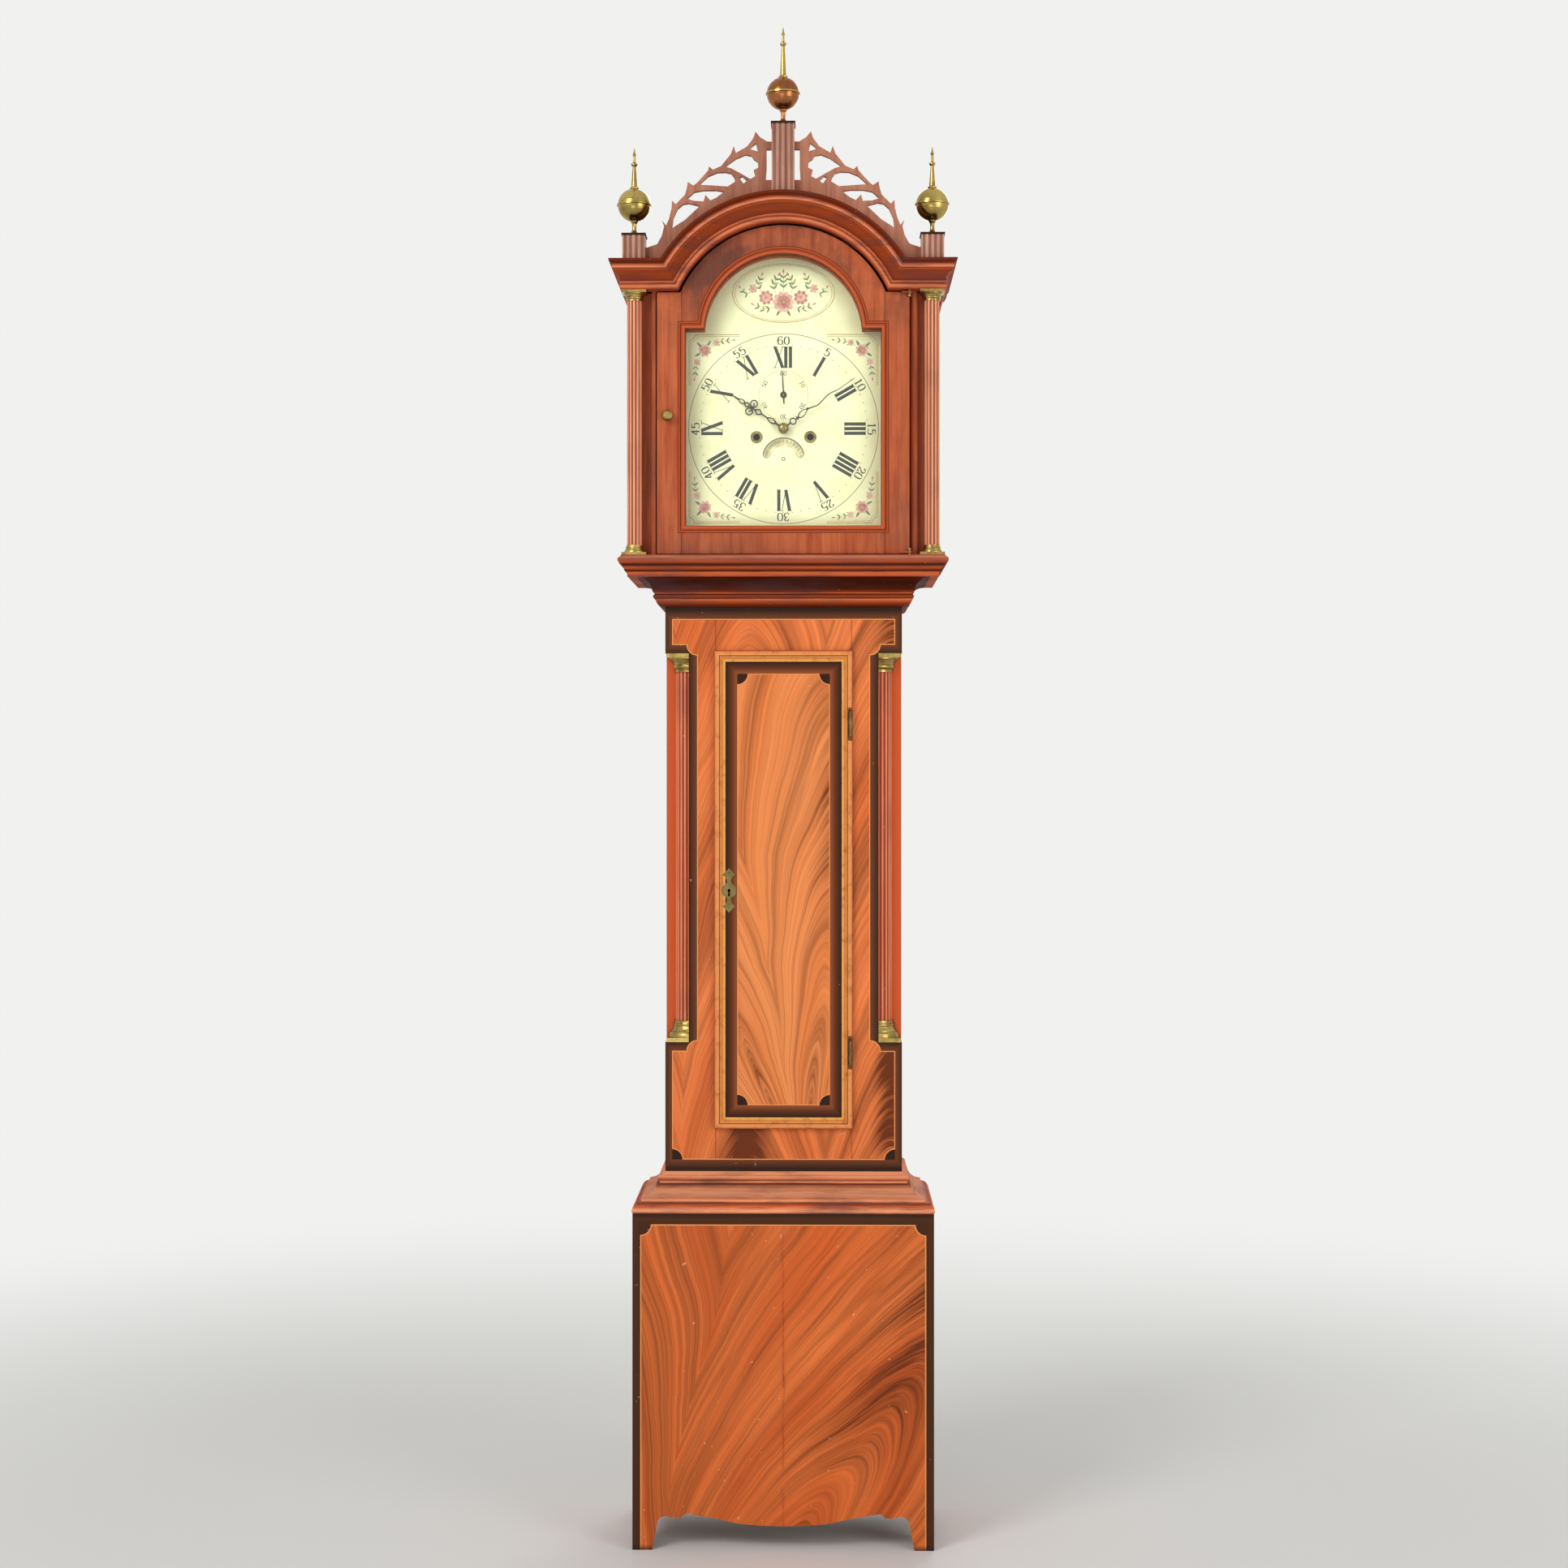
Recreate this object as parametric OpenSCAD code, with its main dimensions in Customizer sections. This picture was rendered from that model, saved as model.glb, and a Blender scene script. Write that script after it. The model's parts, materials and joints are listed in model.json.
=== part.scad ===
// Tall case clock with an arched hood and an eight-day movement.
// X runs across the front, Y from front to back (the front faces -Y), Z up from the floor.
// The origin is on the floor, under the middle of the overall box.

/* [Base] */
// Height from the floor to the underside of the base moulding
base_h = 518; // [470:1:580]
// Width of the base box
base_w = 465; // [440:1:490]
// Height of the moulding between base and waist
base_moulding_h = 59; // [50:1:70]
// Thickness of the side, front and back boards
board_t = 16; // [14:0.5:18]
// Height of the feet up to the bottom board
foot_h = 58; // [54:1:80]
// Width of a foot where it stands on the floor
foot_w = 30; // [24:1:40]
// Height of the middle of the front skirt over the floor
skirt_drop = 37; // [25:1:42]

/* [Waist] */
// Height of the waist between its two mouldings
waist_h = 880; // [860:1:940]
// Width of the waist
waist_w = 369; // [360:1:385]
// Depth of the waist from its front to the back of the backboard
waist_d = 190; // [186:1:215]
// Thickness of the waist front frame
frame_t = 20; // [18:1:22]
// Width of the opening for the waist door
door_opening_w = 208; // [196:1:216]
// Height of the bottom rail under the waist door
bottom_rail_h = 71; // [60:1:80]
// Height of the top rail over the waist door
top_rail_h = 72; // [60:1:80]
// Width and depth of the recess for a quarter column
niche_w = 36.5; // [32:0.5:38]
// Height from the bottom of the waist to the bottom of the recess
niche_bottom = 201; // [180:1:220]
// Height of the recess
niche_h = 607; // [560:1:620]
// Radius of a quarter column
quarter_r = 21.8; // [19:0.1:23]
// Thickness of the waist door board
door_t = 20; // [18:1:22]
// Overlap of the door moulding on the frame
door_lip = 4; // [3:0.5:5]
// Width of the moulding round the waist door
door_moulding_w = 17.4; // [14:0.2:20]
// Thickness of the moulding round the waist door
door_moulding_t = 8.5; // [6:0.5:9]
// Length of a waist door hinge
butt_h = 38; // [32:1:52]
// Radius of a hinge knuckle
knuckle_r = 3.3; // [3:0.1:4.4]
// Height of the keyhole over the bottom of the waist door opening
keyhole_z = 367; // [340:1:400]

/* [Hood] */
// Height of the moulding from the waist top up to the hood
throat_h = 44; // [38:1:52]
// Height of the hood's own base moulding
hood_base_h = 32.5; // [28:0.5:38]
// Height of the hood between its base and the cornice
hood_h = 407.5; // [400:0.5:425]
// Height of the cornice
cornice_h = 44.5; // [38:0.5:50]
// How far the face under the cornice stands out from the waist
frieze_out = 57.5; // [55:0.5:60]
// How far the cornice stands out from the face under it
cornice_out = 25; // [20:0.5:30]
// Radius of the lower edge of the arched cornice
arch_r = 176.2; // [172:0.1:180]
// Depth of the arch centre below the cornice
arch_drop = 72.2; // [68:0.1:76]
// Radius of a hood column at its foot
column_r = 11.4; // [10:0.1:12]
// Distance of the column axis from the middle of the clock
column_x = 229.5; // [228:0.1:231]
// Distance of the column axis in front of the waist face
column_out = 44; // [43:0.5:46]
// Height of the turned brass at each end of a hood column
column_brass_h = 15.5; // [13:0.5:18]
// Width of the square block of a column brass
column_block_w = 38; // [34:0.5:40]

/* [Hood door] */
// Width of the hood door
hood_door_w = 389; // [384:0.5:391]
// Thickness of the hood door
hood_door_t = 22; // [20:0.5:22]
// Width of the glazed opening and of the opening round the dial
sight_w = 302.6; // [290:0.2:306]
// Height of the bottom rail of the hood door
hood_rail_h = 43; // [38:0.5:46]
// Height over the hood base of the shoulders beside the arched top of the glass
sight_shoulder_h = 349.5; // [342:0.5:354]
// Height over the hood base of the centre of the arched top of the glass
sight_arch_h = 343; // [338:0.5:347]
// Radius of the arched top of the glass
sight_arch_r = 122; // [116:0.5:124]
// Height of the knob over the hood base
knob_h = 214; // [180:1:260]
// Thickness of the glass
glass_t = 2; // [1.6:0.1:2.6]

/* [Crest] */
// Height of the middle plinth over the top of the arch
centre_plinth_h = 111; // [90:1:125]
// Height of the side plinths over the cornice
side_plinth_h = 43.5; // [36:0.5:52]
// Width of a plinth
plinth_w = 35; // [32:0.5:38]
// Radius of a finial ball
ball_r = 25.5; // [22:0.1:28]
// Height of the middle finial
centre_finial_h = 148; // [130:1:160]
// Height of a side finial
side_finial_h = 134; // [120:1:145]
// Thickness of the pierced frets
fret_t = 9; // [7:0.5:12]

/* [Dial and hands] */
// Height of the hand arbor over the hood base
arbor_z = 200; // [195:0.5:204]
// Thickness of the painted iron dial
dial_t = 1.5; // [1.2:0.1:2]
// Length of the minute hand
minute_hand_l = 135; // [125:1:138]
// Length of the hour hand
hour_hand_l = 98; // [90:1:104]
// Length of the seconds hand
seconds_hand_l = 37; // [32:1:42]
// Distance of each winding arbor from the middle
winding_x = 41.8; // [41.4:0.1:44]
// Depth of the winding arbors below the hand arbor
winding_drop = 13; // [11:0.5:15]
// Height of the seconds arbor over the hand arbor
seconds_rise = 52.5; // [51:0.1:54]

/* [Movement] */
// Distance between the brass plates
plate_gap = 55.5; // [55:0.5:60]
// Thickness of a plate
plate_t = 2.5; // [2:0.1:3]
// Width of a plate
plate_w = 160; // [150:1:168]
// Length of a dial foot between dial and front plate
dial_foot_l = 34.5; // [34:0.5:36]
// Radius of a winding drum
drum_r = 22.5; // [20:0.1:23]
// Thickness of the gut line
line_d = 1.6; // [1.2:0.1:2]
// Length of the pendulum from its spring to the middle of the bob
pendulum_l = 994; // [985:1:1000]
// Radius of the pendulum bob
bob_r = 55; // [45:1:60]
// Radius of a weight
weight_r = 34; // [30:0.5:36]
// Height of a weight
weight_h = 230; // [180:1:250]
// Radius of the bell
bell_r = 44; // [38:0.5:46]

/* [Hidden] */
$fn = 48;

paint_orange = "#CF6E44";
paint_brown = "#8E452F";
moulding_red = "#A8441F";
column_pink = "#B25B45";
brass = "#B59B54";
iron = "#2E2C2A";
steel = "#8C8C88";

cut = 1;
running_fit = 0.05;
seat_gap = 0.3;

// Levels over the floor
waist_z = base_h + base_moulding_h;
throat_z = waist_z + waist_h;
hood_z = throat_z + throat_h;
hood_floor_z = hood_z + hood_base_h;
cornice_z = hood_floor_z + hood_h;
cornice_top_z = cornice_z + cornice_h;
arch_z = cornice_z - arch_drop;
arch_top_r = arch_r + cornice_h;
crown_z = arch_z + arch_top_r;
dial_z = hood_floor_z + arbor_z;

// Distances across and from front to back
waist_x = waist_w / 2;
base_x = base_w / 2;
base_out = base_x - waist_x;
front_y = (frieze_out + cornice_out - waist_d) / 2;
back_y = front_y + waist_d;
frieze_x = waist_x + frieze_out;
frieze_y = front_y - frieze_out;
backboard_y = back_y - board_t;
dial_y = front_y - 10;
front_plate_y = dial_y + dial_t + dial_foot_l;
inner_y = front_plate_y + plate_t;
back_plate_y = inner_y + plate_gap;
flange_t = 2;
drum_y0 = inner_y + 7.5;
drum_l = plate_gap - 9.5 - flange_t - 2;
line_y = drum_y0 + drum_l / 2;
line_r = drum_r + line_d / 2 + seat_gap;

// Profiles: each point is the distance out from the face and the height over the bottom edge
function arc(cx, cz, r, from, to, n) =
    [for (i = [0:n]) let (a = from + (to - from) * i / n) [cx + r * cos(a), cz + r * sin(a)]];

base_profile = concat([[0.01, 0], [base_out - 1, 0], [base_out + 1.5, 3]],
    arc(base_out - 12.5, 3, 14, 10, 75, 5), [[base_out - 12.5, base_moulding_h - 42.5],
    [base_out - 12.5, base_moulding_h - 38]],
    arc(base_out - 13.5, base_moulding_h - 16.5, 21, 268, 186, 7),
    [[8, base_moulding_h - 17.5], [8, base_moulding_h - 15]],
    arc(6.5, base_moulding_h - 10, 4.5, -70, 80, 6), [[5, base_moulding_h - 5],
    [2.5, base_moulding_h - 2.5], [0.5, base_moulding_h], [0.01, base_moulding_h]]);

throat_profile = concat([[0.01, 0], [1.5, 0], [5, 1.5]], arc(6, 9, 7.5, 270, 350, 4),
    [[14, 9.5], [14, 12]], arc(14.5, 15.5, 3.7, -80, 80, 6), [[15.2, 19.4], [15.2, 22.5]],
    arc(40, throat_h - 21.2, 20.8, 178, 100, 7),
    [[42.5, throat_h], [0.01, throat_h]]);

hood_base_profile = concat([[0.01, 0], [55.5, 0], [55.5, 7]],
    arc(56.5, 11.5, 4.5, 270, 330, 3), arc(67.5, 9.5, 8, 165, 115, 3),
    [[63.8, 18], [67, 18.6]], arc(64.3, 24.5, 5.3, -50, 70, 6),
    [[64, hood_base_h], [0.01, hood_base_h]]);

cornice_profile = concat([[0.01, 0], [5.5, 0]], arc(5, 4.7, 4.4, -70, 70, 6),
    [[7, 9.6], [9.2, 10.6]], arc(cornice_out - 1.5, 12.5, 15.5, 172, 110, 6),
    [[cornice_out - 6.8, cornice_h - 14], [cornice_out - 4.8, cornice_h - 14],
    [cornice_out - 4.8, cornice_h - 9], [cornice_out - 4.4, cornice_h - 6.4],
    [cornice_out - 3, cornice_h - 5], [cornice_out - 1.2, cornice_h - 4.2],
    [cornice_out - 0.3, cornice_h - 3.2], [cornice_out, cornice_h - 2],
    [cornice_out, cornice_h], [0.01, cornice_h]]);

module across(half) translate([-half, 0, 0]) rotate([90, 0, 90]) linear_extrude(2 * half) children();
module along_y(y0, y1) translate([0, y1, 0]) rotate([90, 0, 0]) linear_extrude(y1 - y0) children();
module block(x0, x1, y0, y1, z0, z1) translate([x0, y0, z0]) cube([x1 - x0, y1 - y0, z1 - z0]);
module both_sides() {
    children();
    mirror([1, 0, 0]) children();
}
module rod_y(x, z, y0, y1, r) translate([x, y1, z]) rotate([90, 0, 0]) cylinder(r = r, h = y1 - y0);

// A moulding round the front and both sides of a box, mitred at the two front corners
module mitred_block(profile, half, front, z0) {
    n = len(profile);
    h = profile[n - 1][1];
    intersection() {
        translate([0, 0, z0]) across(half + 100) polygon(concat(
            [for (p = profile) [front - p[0], p[1]]], [[back_y, h], [back_y, 0]]));
        translate([0, 0, z0]) along_y(front - 100, back_y) polygon(concat(
            [for (p = profile) [half + p[0], p[1]]],
            [for (i = [n - 1:-1:0]) [-half - profile[i][0], profile[i][1]]]));
    }
}
module mitred_moulding(profile, half, front, z0) difference() {
    mitred_block(profile, half, front, z0);
    block(-half, half, front, back_y + cut, z0 - cut, z0 + profile[len(profile) - 1][1] + cut);
}

// A flat rectangular moulding frame with mitred corners, its back face on y = back
module mitred_ring(profile, w, half, z0, z1, back) {
    for (side = [0, 1, 2, 3]) {
        long = side % 2 == 0 ? half : (z1 - z0) / 2;
        reach = side % 2 == 0 ? (z1 - z0) / 2 : half;
        translate([0, back, (z0 + z1) / 2]) rotate([0, 90 * side, 0]) intersection() {
            translate([0, 0, -reach]) across(long) polygon([for (p = profile) [-p[1], p[0]]]);
            along_y(-20, cut) polygon([[-long, -reach], [long, -reach],
                [long - w, -reach + w], [-long + w, -reach + w]]);
        }
    }
}

// Base
skirt_cusp_x = 149;
module skirt_outline() {
    inner = base_x - foot_w;
    polygon(concat([[-base_x, 0], [-inner, 0], [-inner + 9, 45]],
        arc(-inner + 20, 41, 11, 150, 75, 4), [[-inner + 37, foot_h - 9], [-inner + 45, foot_h - 8],
        [-skirt_cusp_x - 3, foot_h - 3], [-skirt_cusp_x, foot_h - 2], [-105, foot_h - 9],
        [-70, skirt_drop + 4], [-35, skirt_drop + 1], [0, skirt_drop],
        [35, skirt_drop + 1], [70, skirt_drop + 4], [105, foot_h - 9],
        [skirt_cusp_x, foot_h - 2], [skirt_cusp_x + 3, foot_h - 3],
        [inner - 45, foot_h - 8], [inner - 37, foot_h - 9]],
        arc(inner - 20, 41, 11, 105, 30, 4), [[inner - 9, 45], [inner, 0], [base_x, 0],
        [base_x, base_h], [-base_x, base_h]]));
}
module base_front_board() color(paint_orange)
    along_y(front_y - base_out, front_y - base_out + board_t) skirt_outline();

module base_sides() color(paint_orange) both_sides()
    translate([base_x - board_t, 0, 0]) rotate([90, 0, 90]) linear_extrude(board_t) {
        y0 = front_y - base_out + board_t;
        polygon(concat([[y0, 0], [y0 + foot_w, 0], [y0 + foot_w + 6, foot_h - 12]],
            arc(y0 + foot_w + 18, foot_h - 14, 12, 160, 80, 4),
            [[(y0 + back_y) / 2, foot_h - 6]],
            arc(back_y - foot_w - 18, foot_h - 14, 12, 100, 20, 4),
            [[back_y - foot_w - 6, foot_h - 12], [back_y - foot_w, 0], [back_y, 0],
            [back_y, base_h], [y0, base_h]]));
    }

module base_bottom() color("#9C7A55")
    block(-base_x + board_t, base_x - board_t, front_y - base_out + board_t, backboard_y,
        foot_h + 2, foot_h + 2 + board_t);

hood_side_x = 211;
roof_t = 5;
roof_x = arch_top_r * 0.8;
hood_clear = 1;
module backboard() color("#8A6B4A") {
    block(-base_x + board_t, base_x - board_t, backboard_y, back_y, foot_h + 2, base_h);
    block(-waist_x + board_t, waist_x - board_t, backboard_y, back_y, base_h, hood_floor_z);
    block(-hood_side_x + hood_clear, hood_side_x - hood_clear, backboard_y, back_y, hood_floor_z,
        cornice_top_z - hood_clear);
    along_y(backboard_y, back_y) intersection() {
        arch_disc(arch_top_r - roof_t - hood_clear);
        translate([-roof_x + hood_clear, cornice_z])
            square([2 * (roof_x - hood_clear), arch_top_r]);
    }
}

module base_moulding() color(moulding_red)
    mitred_moulding(base_profile, waist_x, front_y, base_h);

// Waist
door_z0 = waist_z + bottom_rail_h;
door_z1 = throat_z - top_rail_h;
opening_x = door_opening_w / 2;
niche_x = waist_x - niche_w;
niche_z0 = waist_z + niche_bottom;
niche_z1 = niche_z0 + niche_h;
leaf_t = 2;
hinge_clear = 0.1;
leaf_y1 = front_y + frame_t - 1;
butt_zs = [door_z0 + 96, door_z1 - 92 - butt_h];
tip_h = 7;

module leaf_recess(side) for (z = butt_zs)
    block(side > 0 ? opening_x - cut : opening_x - leaf_t - hinge_clear,
        side > 0 ? opening_x + leaf_t + hinge_clear : opening_x + cut,
        front_y - 30, leaf_y1, z, z + butt_h);

bolt_w = 6;
bolt_h = 12;
lock_y = front_y - 1.5 + door_t;
lock_z = door_z0 + keyhole_z;
bolt_throw = 8;
module waist_frame() color(paint_orange) difference() {
    union() {
        both_sides() block(opening_x, niche_x, front_y, front_y + frame_t, base_h, hood_z);
        block(-opening_x, opening_x, front_y, front_y + frame_t, base_h, door_z0);
        block(-opening_x, opening_x, front_y, front_y + frame_t, door_z1, hood_z);
    }
    leaf_recess(1);
}

post_lip = 12;
module corner_posts() color(paint_orange) both_sides() {
    translate([0, 0, base_h]) linear_extrude(hood_z - base_h) polygon([
        [niche_x, front_y + niche_w], [waist_x, front_y + niche_w],
        [waist_x, front_y + niche_w + board_t], [niche_x - post_lip, front_y + niche_w + board_t],
        [niche_x - post_lip, front_y + frame_t], [niche_x, front_y + frame_t]]);
    block(niche_x, waist_x, front_y, front_y + niche_w, base_h, niche_z0);
    block(niche_x, waist_x, front_y, front_y + niche_w, niche_z1, hood_z);
}

module waist_sides() color(paint_orange) both_sides()
    block(waist_x - board_t, waist_x, front_y + niche_w + board_t, back_y, base_h, throat_z);

quarter_cap_h = 28.5;
quarter_foot_h = 32.5;
flutes = 5;
module in_niche() both_sides() intersection() {
    translate([niche_x, front_y + niche_w, 0]) children();
    block(niche_x, waist_x, front_y, front_y + niche_w, niche_z0, niche_z1);
}
module quarter_columns() color(column_pink) in_niche()
    translate([0, 0, niche_z0 + quarter_foot_h])
        linear_extrude(niche_h - quarter_foot_h - quarter_cap_h) difference() {
            circle(r = quarter_r);
            for (i = [0:flutes - 1]) rotate(-9 - i * 72 / (flutes - 1))
                translate([quarter_r + 0.6, 0]) circle(r = 2.2);
        }

// The turned part of a brass from its flat end towards the shaft, as shares of flare and height
foot_turning = [[1, 0], [1, 0.06], [0.98, 0.13], [0.92, 0.22], [0.8, 0.31], [0.68, 0.34],
    [0.67, 0.4], [0.55, 0.48], [0.45, 0.57], [0.38, 0.66], [0.44, 0.68], [0.47, 0.73],
    [0.44, 0.79], [0.34, 0.82], [0.28, 0.9], [0.26, 1]];
cap_turning = [[1, 0], [0.99, 0.07], [0.8, 0.14], [0.62, 0.24], [0.47, 0.35], [0.36, 0.47],
    [0.43, 0.5], [0.48, 0.57], [0.47, 0.65], [0.38, 0.73], [0.2, 0.77], [0.14, 0.84],
    [0.24, 0.87], [0.24, 1]];
module brass_rings(turning, r, h, flare) rotate_extrude() polygon(concat([[0, 0]],
    [for (p = turning) [r + (flare - r) * p[0], h * p[1]]], [[0, h]]));
quarter_block_h = 6.5;
module quarter_brass(turning, h) {
    block(0, niche_w - 1.5, -niche_w + 1.5, 0, 0, quarter_block_h);
    translate([0, 0, quarter_block_h])
        brass_rings(turning, quarter_r, h - quarter_block_h, quarter_r * 1.5);
}
module quarter_column_brasses() color(brass) in_niche() {
    translate([0, 0, niche_z0]) quarter_brass(foot_turning, quarter_foot_h);
    translate([0, 0, niche_z1]) mirror([0, 0, 1]) quarter_brass(cap_turning, quarter_cap_h);
}

module throat_moulding() color(moulding_red)
    mitred_moulding(throat_profile, waist_x, front_y, throat_z);

// Waist door with its hinges and lock
door_x = opening_x - 0.4;
hinge_y = front_y - door_moulding_t - 1.5 - 1;
door_face_y = front_y - 1.5;
pin_r = 1.5;
knuckles = 5;
module waist_door() color(paint_orange) difference() {
    block(-door_x, door_x, door_face_y, door_face_y + door_t, door_z0 + 1, door_z1 - 1);
    leaf_recess(-1);
    along_y(door_face_y - cut, lock_y + cut) keyhole();
}

door_profile = concat([[0, 0], [0, door_moulding_t * 0.55]],
    arc(door_moulding_t * 0.45, door_moulding_t * 0.55, door_moulding_t * 0.45, 180, 90, 5),
    [[door_moulding_w * 0.46, door_moulding_t], [door_moulding_w * 0.46, door_moulding_t - 1]],
    arc(door_moulding_w * 0.9, door_moulding_t + 1, door_moulding_w * 0.38, 205, 262, 5),
    [[door_moulding_w, door_moulding_t * 0.2], [door_moulding_w, 0]]);
module waist_door_moulding() color("#C4762F") difference() {
    mitred_ring(door_profile, door_moulding_w, opening_x + door_lip, door_z0 - door_lip,
        door_z1 + door_lip, door_face_y);
    for (z = butt_zs) {
        block(opening_x - leaf_t - hinge_clear, opening_x + door_lip + cut,
            front_y - 30, front_y, z - 0.5, z + butt_h + 0.5);
        translate([opening_x, hinge_y, z - tip_h])
            cylinder(r = knuckle_r + 0.6, h = butt_h + 2 * tip_h);
    }
    along_y(front_y - 30, door_face_y + cut) escutcheon_outline(hinge_clear);
}

module hinge_barrel(own) for (z = butt_zs) for (i = [own:2:knuckles - 1])
    translate([opening_x, hinge_y, z + i * butt_h / knuckles + hinge_clear])
        cylinder(r = knuckle_r, h = butt_h / knuckles - 2 * hinge_clear);
module hinge_case_leaves() color(brass) {
    hinge_barrel(0);
    for (z = butt_zs) {
        for (i = [0:2:knuckles - 1])
            block(opening_x + hinge_clear, opening_x + leaf_t, hinge_y, front_y + 1,
                z + i * butt_h / knuckles + hinge_clear, z + (i + 1) * butt_h / knuckles - hinge_clear);
        block(opening_x + hinge_clear, opening_x + leaf_t, front_y, leaf_y1 - hinge_clear,
            z + hinge_clear, z + butt_h - hinge_clear);
    }
    for (z = butt_zs) translate([opening_x, hinge_y, z - tip_h / 2]) {
        cylinder(r = pin_r, h = butt_h + tip_h);
        for (end = [0, butt_h + tip_h]) translate([0, 0, end]) sphere(r = knuckle_r - 0.7);
    }
}
module hinge_door_leaves() color(brass) difference() {
    union() {
        hinge_barrel(1);
        for (z = butt_zs) {
            for (i = [1:2:knuckles - 1])
                block(opening_x - leaf_t, opening_x - hinge_clear, hinge_y, front_y + 1,
                    z + i * butt_h / knuckles + hinge_clear,
                    z + (i + 1) * butt_h / knuckles - hinge_clear);
            block(opening_x - leaf_t, opening_x - hinge_clear, door_face_y, leaf_y1 - hinge_clear,
                z + hinge_clear, z + butt_h - hinge_clear);
        }
    }
    for (z = butt_zs) translate([opening_x, hinge_y, z - cut])
        cylinder(r = pin_r + running_fit, h = butt_h + 2 * cut);
}

key_x = -85;
module keyhole() translate([key_x, lock_z]) {
    circle(r = 2.4);
    polygon([[-1, 0], [1, 0], [1.5, -9], [-1.5, -9]]);
}
escutcheon_t = 1.2;
module escutcheon_half(g) polygon(concat(arc(0, 0, 11.5 + g, 0, 70, 6), [[3.2 + g, 16],
    [6.2 + g, 22 - g], [10.5 + g, 24], [5.5 + g, 29 + g], [0, 34.5 + g], [-5.5 - g, 29 + g],
    [-10.5 - g, 24], [-6.2 - g, 22 - g], [-3.2 - g, 16]], arc(0, 0, 11.5 + g, 110, 180, 6)));
module escutcheon_outline(grow) translate([key_x, lock_z]) {
    escutcheon_half(grow);
    mirror([0, 1]) escutcheon_half(grow);
}
module escutcheon() color(brass) along_y(door_face_y - escutcheon_t, door_face_y) difference() {
    escutcheon_outline(0);
    keyhole();
    for (side = [-1, 1]) translate([key_x, lock_z + side * 27]) circle(r = 0.9, $fn = 16);
}

lock_w = 36;
lock_h = 48;
lock_t = 10;
module bolt_shape(grow) block(-door_x - bolt_throw - 2, -door_x + lock_w - 10,
    lock_y + 2 - grow, lock_y + 2 + bolt_w + grow, lock_z - bolt_h / 2 - grow,
    lock_z + bolt_h / 2 + grow);
module door_lock() color(iron) difference() {
    block(-door_x, -door_x + lock_w, lock_y, lock_y + lock_t, lock_z - lock_h / 2, lock_z + lock_h / 2);
    bolt_shape(0.1);
    along_y(lock_y - cut, lock_y + lock_t + cut) keyhole();
}
module lock_bolt() color(steel) difference() {
    block(-door_x, -door_x + lock_w - 10 - bolt_throw, lock_y + 2, lock_y + 2 + bolt_w,
        lock_z - bolt_h / 2, lock_z + bolt_h / 2);
    along_y(lock_y - cut, lock_y + lock_t + cut) keyhole();
}

// Seatboard on two cheeks
cheek_y0 = front_y + niche_w + board_t;
seat_y0 = front_plate_y - 9;
seat_y1 = back_plate_y + plate_t + 11.5;
plate_below = 83;
seat_top_z = dial_z - plate_below;
module seatboard() color("#9C7A55") {
    both_sides() block(waist_x - board_t, waist_x, cheek_y0, backboard_y, throat_z,
        seat_top_z - board_t);
    difference() {
        block(-waist_x, waist_x, seat_y0, seat_y1, seat_top_z - board_t, seat_top_z);
        for (side = [-1, 1]) {
            translate([side * winding_x - line_r, line_y, seat_top_z - board_t - cut])
                cylinder(r = 8, h = board_t + 2 * cut);
            translate([side * winding_x + line_r, line_y, seat_top_z - board_t - cut])
                cylinder(r = line_d / 2 + seat_gap, h = board_t + 2 * cut);
        }
    }
}

// Hood
module hood_base() color(moulding_red) difference() {
    mitred_block(hood_base_profile, waist_x, front_y, hood_z);
    block(-waist_x - 5, waist_x + 5, front_y - 8, back_y + cut, hood_z - cut, hood_floor_z + cut);
    hood_pin(running_fit);
}

mask_out = 27.5;
hood_front_y = front_y - mask_out;
module hood_sides() color(moulding_red) both_sides()
    block(hood_side_x, hood_side_x + board_t, hood_front_y, back_y, hood_floor_z, cornice_top_z);

sight_x = sight_w / 2;
sight_z0 = hood_floor_z + 2.5 + hood_rail_h;
sight_z1 = hood_floor_z + sight_shoulder_h;
sight_arch_z = hood_floor_z + sight_arch_h;
hood_door_x = hood_door_w / 2;
mask_t = 15;
module sight_outline(grow) {
    translate([-sight_x - grow, sight_z0 - grow])
        square([sight_w + 2 * grow, sight_z1 - sight_z0 + 2 * grow]);
    translate([0, sight_arch_z]) circle(r = sight_arch_r + grow, $fn = 96);
}
module arch_disc(r) translate([0, arch_z]) circle(r = r, $fn = 128);
module hood_frame() color(paint_brown) {
    along_y(hood_front_y, hood_front_y + mask_t) difference() {
        union() {
            translate([-hood_side_x, hood_floor_z]) square([2 * hood_side_x, cornice_z - hood_floor_z]);
            intersection() {
                arch_disc(arch_r);
                translate([-arch_r, cornice_z]) square([2 * arch_r, arch_r]);
            }
        }
        sight_outline(0);
    }
    translate([hood_door_x + 8, hood_front_y - 5, hood_floor_z]) cylinder(r = 5.8, h = hood_h);
    block(-hood_door_x - 8, -hood_door_x - 2.5, hood_front_y - 14, hood_front_y, hood_floor_z, cornice_z);
}

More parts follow.
